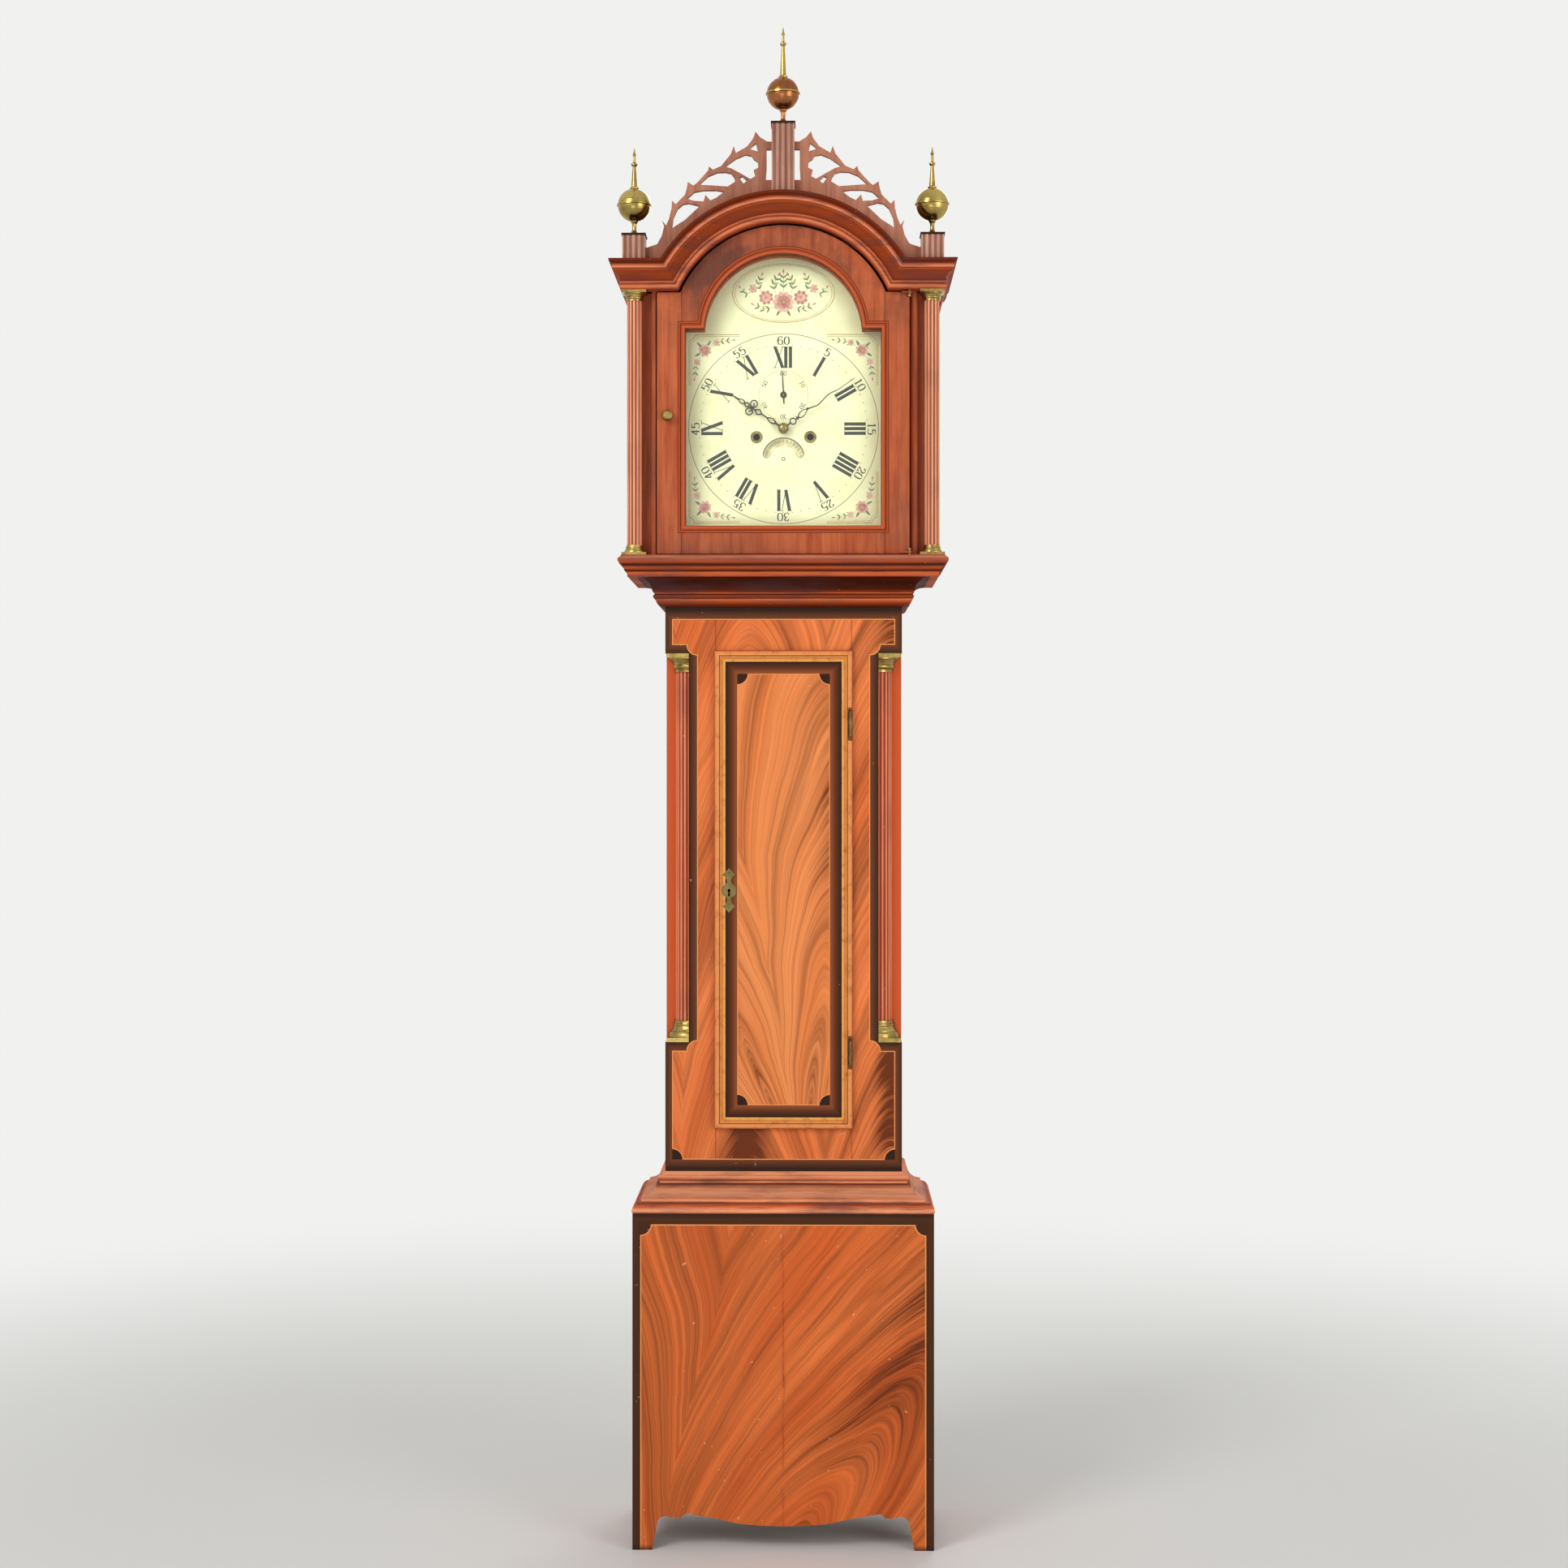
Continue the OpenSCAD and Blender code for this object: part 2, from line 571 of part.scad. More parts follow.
module crest_outline(r, half, top) {
    translate([-half, cornice_z]) square([2 * half, top - cornice_z]);
    intersection() {
        arch_disc(r);
        translate([-r, cornice_z]) square([2 * r, r + 100]);
    }
}
frieze_t = 16;
module hood_frieze() color(moulding_red) difference() {
    union() {
        along_y(frieze_y, frieze_y + frieze_t) difference() {
            crest_outline(arch_top_r, frieze_x, cornice_top_z);
            arch_disc(arch_r + 1);
        }
        both_sides() block(hood_side_x + board_t, frieze_x, frieze_y + frieze_t, back_y,
            cornice_z, cornice_top_z);
    }
    hood_pin(running_fit);
}

// The arched run meets each straight run on a mitre from its lower to its upper corner
mitre_x0 = sqrt(arch_r * arch_r - arch_drop * arch_drop);
mitre_x1 = sqrt(arch_top_r * arch_top_r - (arch_drop + cornice_h) * (arch_drop + cornice_h));
mitre_gap = 0.02;
module between_mitres(grow, top) polygon([[-mitre_x0 - grow, cornice_z - cut],
    [mitre_x0 + grow, cornice_z - cut], [mitre_x0 + grow, cornice_z],
    [mitre_x1 + grow, cornice_top_z], [mitre_x1 + grow, top], [-mitre_x1 - grow, top],
    [-mitre_x1 - grow, cornice_top_z], [-mitre_x0 - grow, cornice_z]]);
module hood_cornice() color(moulding_red) {
    difference() {
        mitred_moulding(cornice_profile, frieze_x, frieze_y, cornice_z);
        along_y(frieze_y - 100, frieze_y + cut) between_mitres(mitre_gap, cornice_top_z + cut);
    }
    intersection() {
        translate([0, 0, arch_z]) rotate([90, 0, 0]) rotate_extrude($fn = 160)
            polygon([for (p = cornice_profile) [arch_r + p[1], p[0] - frieze_y]]);
        along_y(frieze_y - 100, frieze_y + cut) {
            between_mitres(0, cornice_top_z);
            translate([-arch_top_r - cut, cornice_top_z]) square([2 * arch_top_r + 2 * cut, arch_top_r]);
        }
    }
}

module hood_roof() color("#5E4634") {
    y0 = frieze_y + frieze_t;
    both_sides() block(roof_x, frieze_x, y0, back_y, cornice_top_z, cornice_top_z + roof_t);
    along_y(y0, back_y) difference() {
        arch_disc(arch_top_r);
        arch_disc(arch_top_r - roof_t);
        translate([-arch_top_r - cut, 0]) square([2 * (arch_top_r + cut), cornice_top_z]);
    }
}

column_y = front_y - column_out;
shaft_z0 = hood_floor_z + column_brass_h;
shaft_z1 = cornice_z - column_brass_h;
module at_columns() for (x = [-column_x, column_x]) translate([x, column_y, 0]) children();
module hood_columns() color(column_pink) at_columns()
    translate([0, 0, shaft_z0]) linear_extrude(shaft_z1 - shaft_z0) difference() {
        circle(r = column_r);
        for (i = [0:11]) rotate(30 * i + 15) translate([column_r + 0.5, 0]) circle(r = 1.9);
    }
module column_brass(turning) {
    block(-column_block_w / 2, column_block_w / 2, -column_block_w / 2, hood_front_y - column_y, 0, 4);
    translate([0, 0, 4])
        brass_rings(turning, column_r, column_brass_h - 4, column_out - mask_out - seat_gap);
}
module hood_column_brasses() color(brass) at_columns() {
    translate([0, 0, hood_floor_z]) column_brass(foot_turning);
    translate([0, 0, cornice_z]) mirror([0, 0, 1]) column_brass(cap_turning);
}

// Crest
plinth_y = front_y - 40;
side_plinth_x = frieze_x - 12;
cap_t = 3;
module plinth(x, z, h) translate([x, plinth_y, z]) {
    difference() {
        block(-plinth_w / 2, plinth_w / 2, -plinth_w / 2, plinth_w / 2, 0, h - cap_t);
        for (i = [-1.5:1:1.5]) translate([i * plinth_w / 4, -plinth_w / 2 - 1, -cut])
            cylinder(r = 2.4, h = h);
    }
    block(-plinth_w / 2 - 1.4, plinth_w / 2 + 1.4, -plinth_w / 2 - 1.4, plinth_w / 2 + 1.4,
        h - cap_t, h);
}
module plinths() color(column_pink) {
    plinth(0, crown_z, centre_plinth_h);
    both_sides() plinth(side_plinth_x, cornice_top_z + roof_t, side_plinth_h - roof_t);
}

module finial(h, spire_foot) rotate_extrude() {
    ball_z = ball_r + 20.5;
    top = ball_z + ball_r - 0.4;
    polygon(concat([[0, 0], [8.5, 0], [8.5, 1.5], [6, 3.4], [3.8, 7], [3.3, 12], [3.8, 17], [6, 20.6]],
        [for (a = [-76:8:-4]) [ball_r * cos(a), ball_z + ball_r * sin(a)]],
        [[ball_r + 1.6, ball_z - 1.2], [ball_r + 1.6, ball_z + 1.2]],
        [for (a = [4:8:76]) [ball_r * cos(a), ball_z + ball_r * sin(a)]],
        [[7, top], [7.4, top + 1.6], [5, top + 3.4], [4.8, top + 6],
        [2.6, h - 29], [5, h - 26], [5, h - 24], [2.2, h - 21.5], [1.8, h - 12.5],
        [3, h - 10], [1.8, h - 7.4], [0.6, h], [0, h]]));
}
module centre_finial() color("#B5744A") translate([0, plinth_y, crown_z + centre_plinth_h])
    finial(centre_finial_h);
module side_finials() color(brass) both_sides()
    translate([side_plinth_x, plinth_y, cornice_top_z + side_plinth_h]) finial(side_finial_h);

// Pierced frets, drawn on a grid of squares whose origin is a little over the arch centre
fret_square = arch_top_r / 177;
fret_rise = 9.5;
module fret_outline() polygon(concat([[0, 160], [0, 235.6], [20.5, 235.6], [20.5, 236],
    [28.6, 241], [34.3, 248], [37.2, 239.6], [44.6, 229.6], [58.4, 221.6], [61.3, 230.2],
    [64.7, 220.4], [76.8, 205.5], [87.1, 201], [91.7, 205], [93, 199.8], [106.6, 184.8],
    [111.2, 181.4], [118, 186], [119.3, 178], [121.6, 170], [133, 158.4], [137.6, 163],
    [138.2, 153.3], [141.1, 141.2], [145.1, 132], [149.7, 138.3], [147.4, 130.9],
    [150.3, 119.4], [156, 109.1], [168.5, 104.8], [190, 104.8], [190, 80], [150, 80]]));
module fret_holes() {
    polygon([[42.4, 226.7], [33.7, 233.6], [31.4, 223.3]]);
    polygon([[72.2, 204.9], [58.4, 214.7], [47, 219.5], [39, 218.1], [36.6, 214.1], [31.4, 210.7],
        [30.9, 203.2], [36.6, 200.3], [34.3, 192.9], [40.6, 189.4], [52.7, 196.3], [64.2, 202.6]]);
    polygon([[104.3, 182.5], [92.9, 192.9], [81.4, 197.7], [71.1, 198], [64.2, 196.3],
        [60.2, 190.6], [59.6, 186], [68.8, 180.2], [87.1, 181.4]]);
    polygon([[54.4, 190.6], [50.4, 192.9], [44.6, 187.1], [49.2, 183.7]]);
    polygon([[119.3, 165.3], [110.1, 173.4], [98.6, 175.6], [82.5, 175.6], [72.8, 173.9],
        [82.5, 166.5], [90, 163], [96.3, 169.9], [98.6, 161.9], [110.1, 162.4]]);
    polygon([[137.6, 128.6], [135.9, 141.2], [130.7, 152.7], [123.9, 158.4], [117, 159.6],
        [103.2, 156.1], [121.6, 138.9], [134.2, 130.9]]);
    polygon([[13, 188], [21.5, 188], [20.5, 203], [20.5, 226], [13, 226]]);
}
module fret(side) {
    inner = plinth_w / 2;
    outer = side_plinth_x - plinth_w / 2;
    translate([0, plinth_y - fret_t / 2, 0]) rotate([90, 0, 0]) mirror([0, 0, 1])
        linear_extrude(fret_t) difference() {
            intersection() {
                translate([0, arch_z + fret_rise]) scale([side, 1]) scale(fret_square) difference() {
                    fret_outline();
                    fret_holes();
                }
                translate([side > 0 ? inner : -outer, cornice_top_z + roof_t])
                    square([outer - inner, arch_top_r]);
            }
            arch_disc(arch_top_r + seat_gap);
        }
}
module frets() color(column_pink) {
    fret(-1);
    fret(1);
}

// Hood door, hung on two pins at its right edge
hood_door_y = front_y - 50;
hood_axis_x = hood_door_x;
hood_axis_y = hood_door_y - 3;
hood_door_z0 = hood_floor_z + 2.5;
hood_door_z1 = cornice_z - 2.5;
strap_t = 2.5;
strap_l = 34;
hood_pin_r = 2;
module hood_pin(grow) {
    for (z = [hood_floor_z - 12, cornice_z - 7]) translate([hood_axis_x, hood_axis_y, z - grow])
        cylinder(r = hood_pin_r + grow, h = 19 + 2 * grow);
}
module hood_hinge_pins() color(brass) {
    hood_pin(0);
    translate([hood_axis_x, hood_axis_y, cornice_z - 8.5]) sphere(r = 2.8);
    translate([hood_axis_x, hood_axis_y, hood_floor_z + 8.5]) sphere(r = 2.8);
}
module strap_outline(grow) {
    translate([hood_axis_x - strap_l - grow, hood_door_y - grow])
        square([strap_l + grow, 12 + 2 * grow]);
    translate([hood_axis_x, hood_axis_y]) circle(r = 5 + grow);
    translate([hood_axis_x - 12 - grow, hood_axis_y - 5 - grow]) square([12 + grow, 10 + grow]);
}
module hood_door_straps() color(brass) difference() {
    for (z = [hood_door_z0, hood_door_z1 - strap_t]) translate([0, 0, z])
        linear_extrude(strap_t) strap_outline(0);
    hood_pin(running_fit);
}
bead_w = 8;
module hood_door() color(paint_brown) difference() {
    along_y(hood_door_y, hood_door_y + hood_door_t) difference() {
        union() {
            translate([-hood_door_x, hood_door_z0]) square([hood_door_w, hood_door_z1 - hood_door_z0]);
            intersection() {
                arch_disc(arch_r - 3.2);
                translate([-arch_r, hood_door_z0]) square([2 * arch_r, crown_z - hood_door_z0]);
            }
        }
        sight_outline(0);
    }
    along_y(hood_door_y - cut, hood_door_y + 2.5) difference() {
        sight_outline(bead_w);
        sight_outline(bead_w - 2);
    }
    along_y(hood_door_y + hood_door_t - 6, hood_door_y + hood_door_t + cut) sight_outline(5);
    for (z = [hood_door_z0 - cut, hood_door_z1 - strap_t]) translate([0, 0, z])
        linear_extrude(strap_t + cut) strap_outline(0.05);
}
module hood_glass() color("#C8D4D0", 0.4)
    along_y(hood_door_y + hood_door_t - 6, hood_door_y + hood_door_t - 6 + glass_t) sight_outline(4.5);

module hood_door_knob() color(brass)
    translate([-hood_door_x + 16.5, hood_door_y, hood_floor_z + knob_h]) rotate([90, 0, 0]) rotate_extrude()
        polygon(concat([[0, 0], [5.5, 0], [5.5, 1.5], [2.8, 2.6], [2.8, 5]],
            arc(1.5, 10, 7.2, -45, 60, 6), [[0, 16.6]]));

// Dial
dial_x = sight_x + 4;
grommet_r = 9.5;
winding_hole_r = 5.4;
calendar_pin_r = 2;
calendar_r = 27;
calendar_slot_w = 13.6;
slot_shoulder = 0.5;
module calendar_slot() translate([0, dial_z - calendar_drop]) {
    end = [calendar_r * cos(15), calendar_r * sin(15)];
    intersection() {
        difference() {
            circle(r = calendar_r + calendar_slot_w / 2);
            circle(r = calendar_r - calendar_slot_w / 2);
        }
        polygon([[0, 0], 2 * end, [2 * end[0], 2 * calendar_r], [-2 * end[0], 2 * calendar_r],
            [-2 * end[0], 2 * end[1]]]);
    }
    for (side = [-1, 1]) translate([side * end[0], end[1]])
        circle(r = calendar_slot_w / 2 - slot_shoulder);
}
module dial() color("#F2ECC4") {
    along_y(dial_y, dial_y + dial_t) difference() {
        union() {
            translate([-dial_x, sight_z0 - 8]) square([2 * dial_x, sight_z1 - sight_z0 + 12]);
            translate([0, sight_arch_z]) circle(r = sight_arch_r + 6, $fn = 96);
        }
        translate([0, dial_z]) circle(r = 6);
        translate([0, dial_z + seconds_rise]) circle(r = 2.5);
        for (side = [-1, 1]) translate([side * winding_x, dial_z - winding_drop])
            circle(r = winding_hole_r);
        calendar_slot();
    }
    for (x = [-62, 62], z = [-62, 72])
        rod_y(x, dial_z + z, dial_y + dial_t, dial_y + dial_t + dial_foot_l, 3.2);
    rod_y(0, dial_z - calendar_drop, dial_y + dial_t, dial_y + dial_t + 6, calendar_pin_r);
}
module winding_grommets() color(brass) along_y(dial_y - 0.8, dial_y) for (side = [-1, 1])
    translate([side * winding_x, dial_z - winding_drop]) difference() {
        circle(r = grommet_r);
        circle(r = winding_hole_r);
    }

calendar_drop = 47;
module calendar_wheel() color("#F2ECC4") difference() {
    union() {
        translate([0, 0, dial_z - calendar_drop]) along_y(dial_y + dial_t + 0.4, dial_y + dial_t + 1.4)
            toothed(62, 1.17, 0, false);
        rod_y(0, dial_z - calendar_drop, dial_y + dial_t + 0.4, dial_y + dial_t + 4, 5);
    }
    rod_y(0, dial_z - calendar_drop, dial_y, dial_y + dial_t + 10, calendar_pin_r + running_fit);
}

// Movement plates and what is fixed to them
plate_above = 93;
anchor_rise = seconds_rise + 27;
third_x = 9.25;
third_z = 27.4;
pivot_r = 1.2;
drum_arbor_r = 4;
module plate_outline() translate([-plate_w / 2, dial_z - plate_below])
    square([plate_w, plate_below + plate_above]);
module pivot_holes(r, big) {
    translate([0, dial_z]) circle(r = big);
    translate([0, dial_z + seconds_rise]) circle(r = r);
    translate([0, dial_z + anchor_rise]) circle(r = r);
    translate([third_x, dial_z + third_z]) circle(r = r);
    translate([hammer_x, dial_z + hammer_rise]) circle(r = r);
    for (side = [-1, 1]) translate([side * winding_x, dial_z - winding_drop])
        circle(r = drum_arbor_r + running_fit);
}
pillar_r = 5;
pillar_inset = 7;
module movement_plates() color(brass) {
    along_y(front_plate_y, front_plate_y + plate_t) difference() {
        plate_outline();
        pivot_holes(pivot_r + running_fit, 2 + running_fit);
        translate([motion_x, dial_z + motion_rise]) circle(r = pivot_r + running_fit);
    }
    along_y(back_plate_y, back_plate_y + plate_t) difference() {
        plate_outline();
        pivot_holes(pivot_r + running_fit, 2 + running_fit);
    }
    for (side = [-1, 1], z = [pillar_inset - plate_below, plate_above - pillar_inset])
        rod_y(side * (plate_w / 2 - pillar_inset), dial_z + z, inner_y, back_plate_y, pillar_r);
}

pendulum_y = back_plate_y + plate_t + 23.5;
pivot_z = dial_z + anchor_rise;
module back_cock() color(brass) {
    y0 = back_plate_y + plate_t;
    difference() {
        union() {
            block(-22, 22, y0, y0 + 3, pivot_z + 4, pivot_z + 13);
            block(-8, 8, y0 + 3, pendulum_y + 5, pivot_z + 8, pivot_z + 13);
            block(-8, 8, pendulum_y - 4, pendulum_y + 5, pivot_z + 2, pivot_z + 8);
        }
        block(-0.6, 0.6, pendulum_y - 8, pendulum_y + 6, pivot_z + 1, pivot_z + 6);
    }
}

bell_x = -26;
bell_z = dial_z + plate_above + 12;
bell_y = inner_y + plate_gap / 2;
bell_t = 2.5;
module bell() color("#B8B0A0") {
    crown = bell_r * 0.7;
    post_top = bell_z + crown + 5;
    post_y = back_plate_y + plate_t;
    translate([bell_x, bell_y, bell_z]) rotate_extrude() polygon(concat(
        [[bell_r, 0]], [for (a = [8:12:68]) [bell_r * 0.94 * cos(a), crown * sin(a)]],
        [[4.5, crown], [4.5, crown + 5], [0, crown + 5], [0, crown - bell_t]],
        [for (a = [68:-12:8]) [(bell_r * 0.94 - bell_t) * cos(a), (crown - bell_t) * sin(a)]],
        [[bell_r - bell_t, 0]]));
    block(bell_x - 4, bell_x + 4, bell_y - 4, post_y + 3, post_top, post_top + 3);
    block(bell_x - 4, bell_x + 4, post_y, post_y + 3, dial_z + plate_above - 24, post_top);
}

// Wheels: a tooth stands at the given angle, measured from +X towards +Z
module toothed(teeth, module_mm, at, leaf) {
    r = teeth * module_mm / 2;
    pitch = 360 / teeth;
    top = r + 0.85 * module_mm;
    root = r - 1.15 * module_mm;
    half_root = leaf ? 0.2 : 0.24;
    rotate(at) polygon([for (i = [0:teeth - 1])
        for (p = [[root, -0.5], [root, -half_root], [r, -0.16], [top, -0.07],
            [top, 0.07], [r, 0.16], [root, half_root]])
            [p[0] * cos((i + p[1]) * pitch), p[0] * sin((i + p[1]) * pitch)]]);
}
module wheel(teeth, module_mm, at, y, t, x, z) translate([x, 0, dial_z + z]) along_y(y, y + t)
    toothed(teeth, module_mm, at, false);
module crossed_wheel(teeth, module_mm, at, y, t, x, z) {
    r = teeth * module_mm / 2 - 1.15 * module_mm;
    translate([x, 0, dial_z + z]) along_y(y, y + t) difference() {
        toothed(teeth, module_mm, at, false);
        difference() {
            circle(r = r - 2.5);
            circle(r = 5.5);
            for (a = [0, 90]) rotate(a) square([2 * r, 3], center = true);
        }
    }
}
module pinion(leaves, module_mm, at, y, t, x, z) translate([x, 0, dial_z + z]) along_y(y, y + t)
    toothed(leaves, module_mm, at, true);

centre_distance = sqrt(winding_x * winding_x + winding_drop * winding_drop);
great_module = 2 * centre_distance / (96 + 8);
great_y = inner_y + 3.5;
// Line from the time drum to the hand arbor
great_angle = 180 - atan(winding_drop / winding_x);
module drum(x, teeth, at) {
    z = -winding_drop;
    wheel(teeth, great_module, at, great_y, 2.5, x, z);
    rod_y(x, dial_z + z, drum_y0 - 1.5, drum_y0 + drum_l, drum_r);
    rod_y(x, dial_z + z, drum_y0 + drum_l, drum_y0 + drum_l + flange_t, drum_r + 4);
    rod_y(x, dial_z + z, front_plate_y - 10, back_plate_y + plate_t, drum_arbor_r);
    block(x - 2.5, x + 2.5, dial_y + 5, front_plate_y - 10, dial_z + z - 2.5, dial_z + z + 2.5);
}
module time_drum() color(brass) drum(winding_x, 96, great_angle);
module strike_drum() color(brass) drum(-winding_x, 84, 0);

second_distance = sqrt(third_x * third_x + third_z * third_z);
second_module = 2 * second_distance / (60 + 8);
third_distance = sqrt(third_x * third_x + (seconds_rise - third_z) * (seconds_rise - third_z));
third_module = 2 * third_distance / (56 + 7);
second_angle = atan2(third_z, third_x);
third_angle = atan2(seconds_rise - third_z, -third_x);
motion_x = -21.8;
motion_rise = 12.6;
motion_distance = sqrt(motion_x * motion_x + motion_rise * motion_rise);
motion_module = 2 * motion_distance / 72;
hour_module = 2 * motion_distance / 78;
motion_angle = atan2(motion_rise, motion_x);
motion_y = front_plate_y - 6;
hour_y = front_plate_y - 12;
minute_hand_y = dial_y - 9;
hour_hand_y = dial_y - 5;
seconds_hand_y = dial_y - 2.2;
hand_t = 1;
centre_wheel_y = drum_y0 + drum_l + flange_t + 1;
module centre_arbor() color(steel) {
    rod_y(0, dial_z, minute_hand_y - 1.5, back_plate_y + plate_t, 2);
    pinion(8, great_module, great_angle + 180 + 22.5, great_y - 0.5, 3.5, 0, 0);
    crossed_wheel(60, second_module, second_angle, centre_wheel_y, 1.5, 0, 0);
    wheel(36, motion_module, motion_angle, motion_y, 2, 0, 0);
}
module motion_wheel() color(brass) {
    rod_y(motion_x, dial_z + motion_rise, hour_y - 1, front_plate_y + plate_t, pivot_r);
    wheel(36, motion_module, motion_angle + 180 + 5, motion_y, 2, motion_x, motion_rise);
    pinion(6, hour_module, motion_angle + 180 + 30, hour_y - 0.7, 4.7, motion_x, motion_rise);
}
module hour_wheel() color(brass) difference() {
    union() {
        crossed_wheel(72, hour_module, motion_angle, hour_y, 1.5, 0, 0);
        rod_y(0, dial_z, hour_hand_y, hour_y + 1.5, 4.2);
    }
    rod_y(0, dial_z, hour_hand_y - cut, hour_y + 2, 2 + running_fit);
}
third_wheel_y = inner_y + 31;
module third_wheel() color(brass) {
    rod_y(third_x, dial_z + third_z, front_plate_y, back_plate_y + plate_t, pivot_r);
    pinion(8, second_module, second_angle + 180 + 22.5, centre_wheel_y - 0.6, 2.7, third_x, third_z);
    crossed_wheel(56, third_module, third_angle, third_wheel_y, 1.5, third_x, third_z);
}
escape_r = 18;
escape_y = inner_y + 15;
module escape_wheel() color(brass) {
    rod_y(0, dial_z + seconds_rise, seconds_hand_y - 1.5, back_plate_y + plate_t, pivot_r);
    pinion(7, third_module, third_angle + 180 + 180 / 7, third_wheel_y - 1, 3.5, 0, seconds_rise);
    translate([0, 0, dial_z + seconds_rise]) along_y(escape_y, escape_y + 1.5) difference() {
        polygon([for (i = [0:29]) for (p = [[escape_r - 4, -4], [escape_r - 4, 2], [escape_r, 5.5]])
            [p[0] * cos(12 * i + p[1]), p[0] * sin(12 * i + p[1])]]);
        difference() {
            circle(r = escape_r - 6);
            circle(r = 4);
            for (a = [0, 90]) rotate(a) square([2 * escape_r, 2.2], center = true);
        }
    }
}
crutch_l = 120;
fork_gap = 0.35;
rod_r = 2.5;
pallet_clear = 2.6;
module anchor() color(steel) {
    rod_y(0, pivot_z, front_plate_y, back_plate_y + plate_t + 6, pivot_r);
    translate([0, 0, pivot_z]) along_y(escape_y - 0.5, escape_y + 2) difference() {
        union() {
            circle(r = 4.5);
            polygon([[-3, 4], [3, 4], [17, -8], [16.8, -15], [13.5, -17.5], [12.5, -11], [0, -3.4],
                [-12.5, -11], [-13.5, -17.5], [-16.8, -15], [-17, -8]]);
        }
        translate([0, seconds_rise - anchor_rise]) circle(r = escape_r + pallet_clear, $fn = 96);
    }
    block(-1.6, 1.6, back_plate_y + plate_t + 2, back_plate_y + plate_t + 4, pivot_z - crutch_l, pivot_z);
    block(-1.6, 1.6, back_plate_y + plate_t + 2, pendulum_y - rod_r - 1, pivot_z - crutch_l - 2,
        pivot_z - crutch_l + 2);
    for (side = [-1, 1]) block(side > 0 ? rod_r + fork_gap : -rod_r - fork_gap - 2,
        side > 0 ? rod_r + fork_gap + 2 : -rod_r - fork_gap, pendulum_y - rod_r - 1,
        pendulum_y + rod_r + 1, pivot_z - crutch_l - 2, pivot_z - crutch_l + 2);
    block(-rod_r - fork_gap - 2, rod_r + fork_gap + 2, pendulum_y - rod_r - 3,
        pendulum_y - rod_r - 1, pivot_z - crutch_l - 2, pivot_z - crutch_l + 2);
}
bob_z = pivot_z - pendulum_l;
bob_t = 26;
module pendulum() color(brass) {
    block(-0.15, 0.15, pendulum_y - 4, pendulum_y + 4, pivot_z - 18, pivot_z + 5);
    translate([0, pendulum_y, bob_z - bob_r - 28]) cylinder(r = rod_r, h = pivot_z - 16 - bob_z + bob_r + 28);
    translate([0, pendulum_y, bob_z]) rotate([90, 30, 0]) rotate_extrude($fn = 64) polygon(concat(
        [[0, -bob_t / 2]], [for (a = [-75:10:-15]) [bob_r * cos(a), bob_t / 2 * sin(a)]],
        [[bob_r, -3.4], [bob_r, 3.4]], [for (a = [15:10:75]) [bob_r * cos(a), bob_t / 2 * sin(a)]],
        [[0, bob_t / 2]]));
    translate([0, pendulum_y, bob_z - bob_r - 22]) cylinder(r = 9, h = 7);
}

hammer_x = -66;
hammer_rise = 62;
module hammer() color(steel) {
    rod_y(hammer_x, dial_z + hammer_rise, front_plate_y, back_plate_y + plate_t, pivot_r);
    top = bell_z + 12;
    arm_x = bell_x - bell_r - 11;
    block(hammer_x - 3, hammer_x + 3, bell_y - 2, bell_y + 2, dial_z + hammer_rise - 3,
        dial_z + hammer_rise + 4);
    block(min(arm_x, hammer_x) - 1.5, max(arm_x, hammer_x) + 1.5, bell_y - 2, bell_y + 2,
        dial_z + hammer_rise + 1, dial_z + hammer_rise + 4);
    block(arm_x - 1.5, arm_x + 1.5, bell_y - 2, bell_y + 2, dial_z + hammer_rise + 1, top);
    translate([arm_x - 5, bell_y, top - 5]) rotate([0, 90, 0]) cylinder(r = 5, h = 14);
}

// Hands, drawn pointing up from the arbor and turned to the time shown
minute_angle = 55;
hour_angle = -57;
module at_hand(angle, z, y, t) translate([0, 0, z]) along_y(y, y + t) rotate(-angle) children();
module at_arbor_end(r, y) rod_y(0, dial_z, y - 3, y + 3, r);
module open_ring(x, z, r, w) translate([x, z]) difference() {
    circle(r = r);
    circle(r = r - w);
}
// A leaf from z0 to z1, its belly nearer to z0 where bend is under 1, shifted sideways by lean at its tip
module leaf(z0, z1, half, bend, lean = 0) polygon(concat(
    [for (i = [0:12]) [half * sin(180 * pow(i / 12, bend)) + lean * i / 12, z0 + (z1 - z0) * i / 12]],
    [for (i = [11:-1:1]) [-half * sin(180 * pow(i / 12, bend)) + lean * i / 12,
        z0 + (z1 - z0) * i / 12]]));
module open_leaf(z0, z1, half, w, bend, lean = 0) difference() {
    leaf(z0, z1, half, bend, lean);
    leaf(z0 + 2 * w, z1 - 2 * w, half - w, bend, lean);
}
module stem(z0, z1, w) translate([-w / 2, z0]) square([w, z1 - z0]);

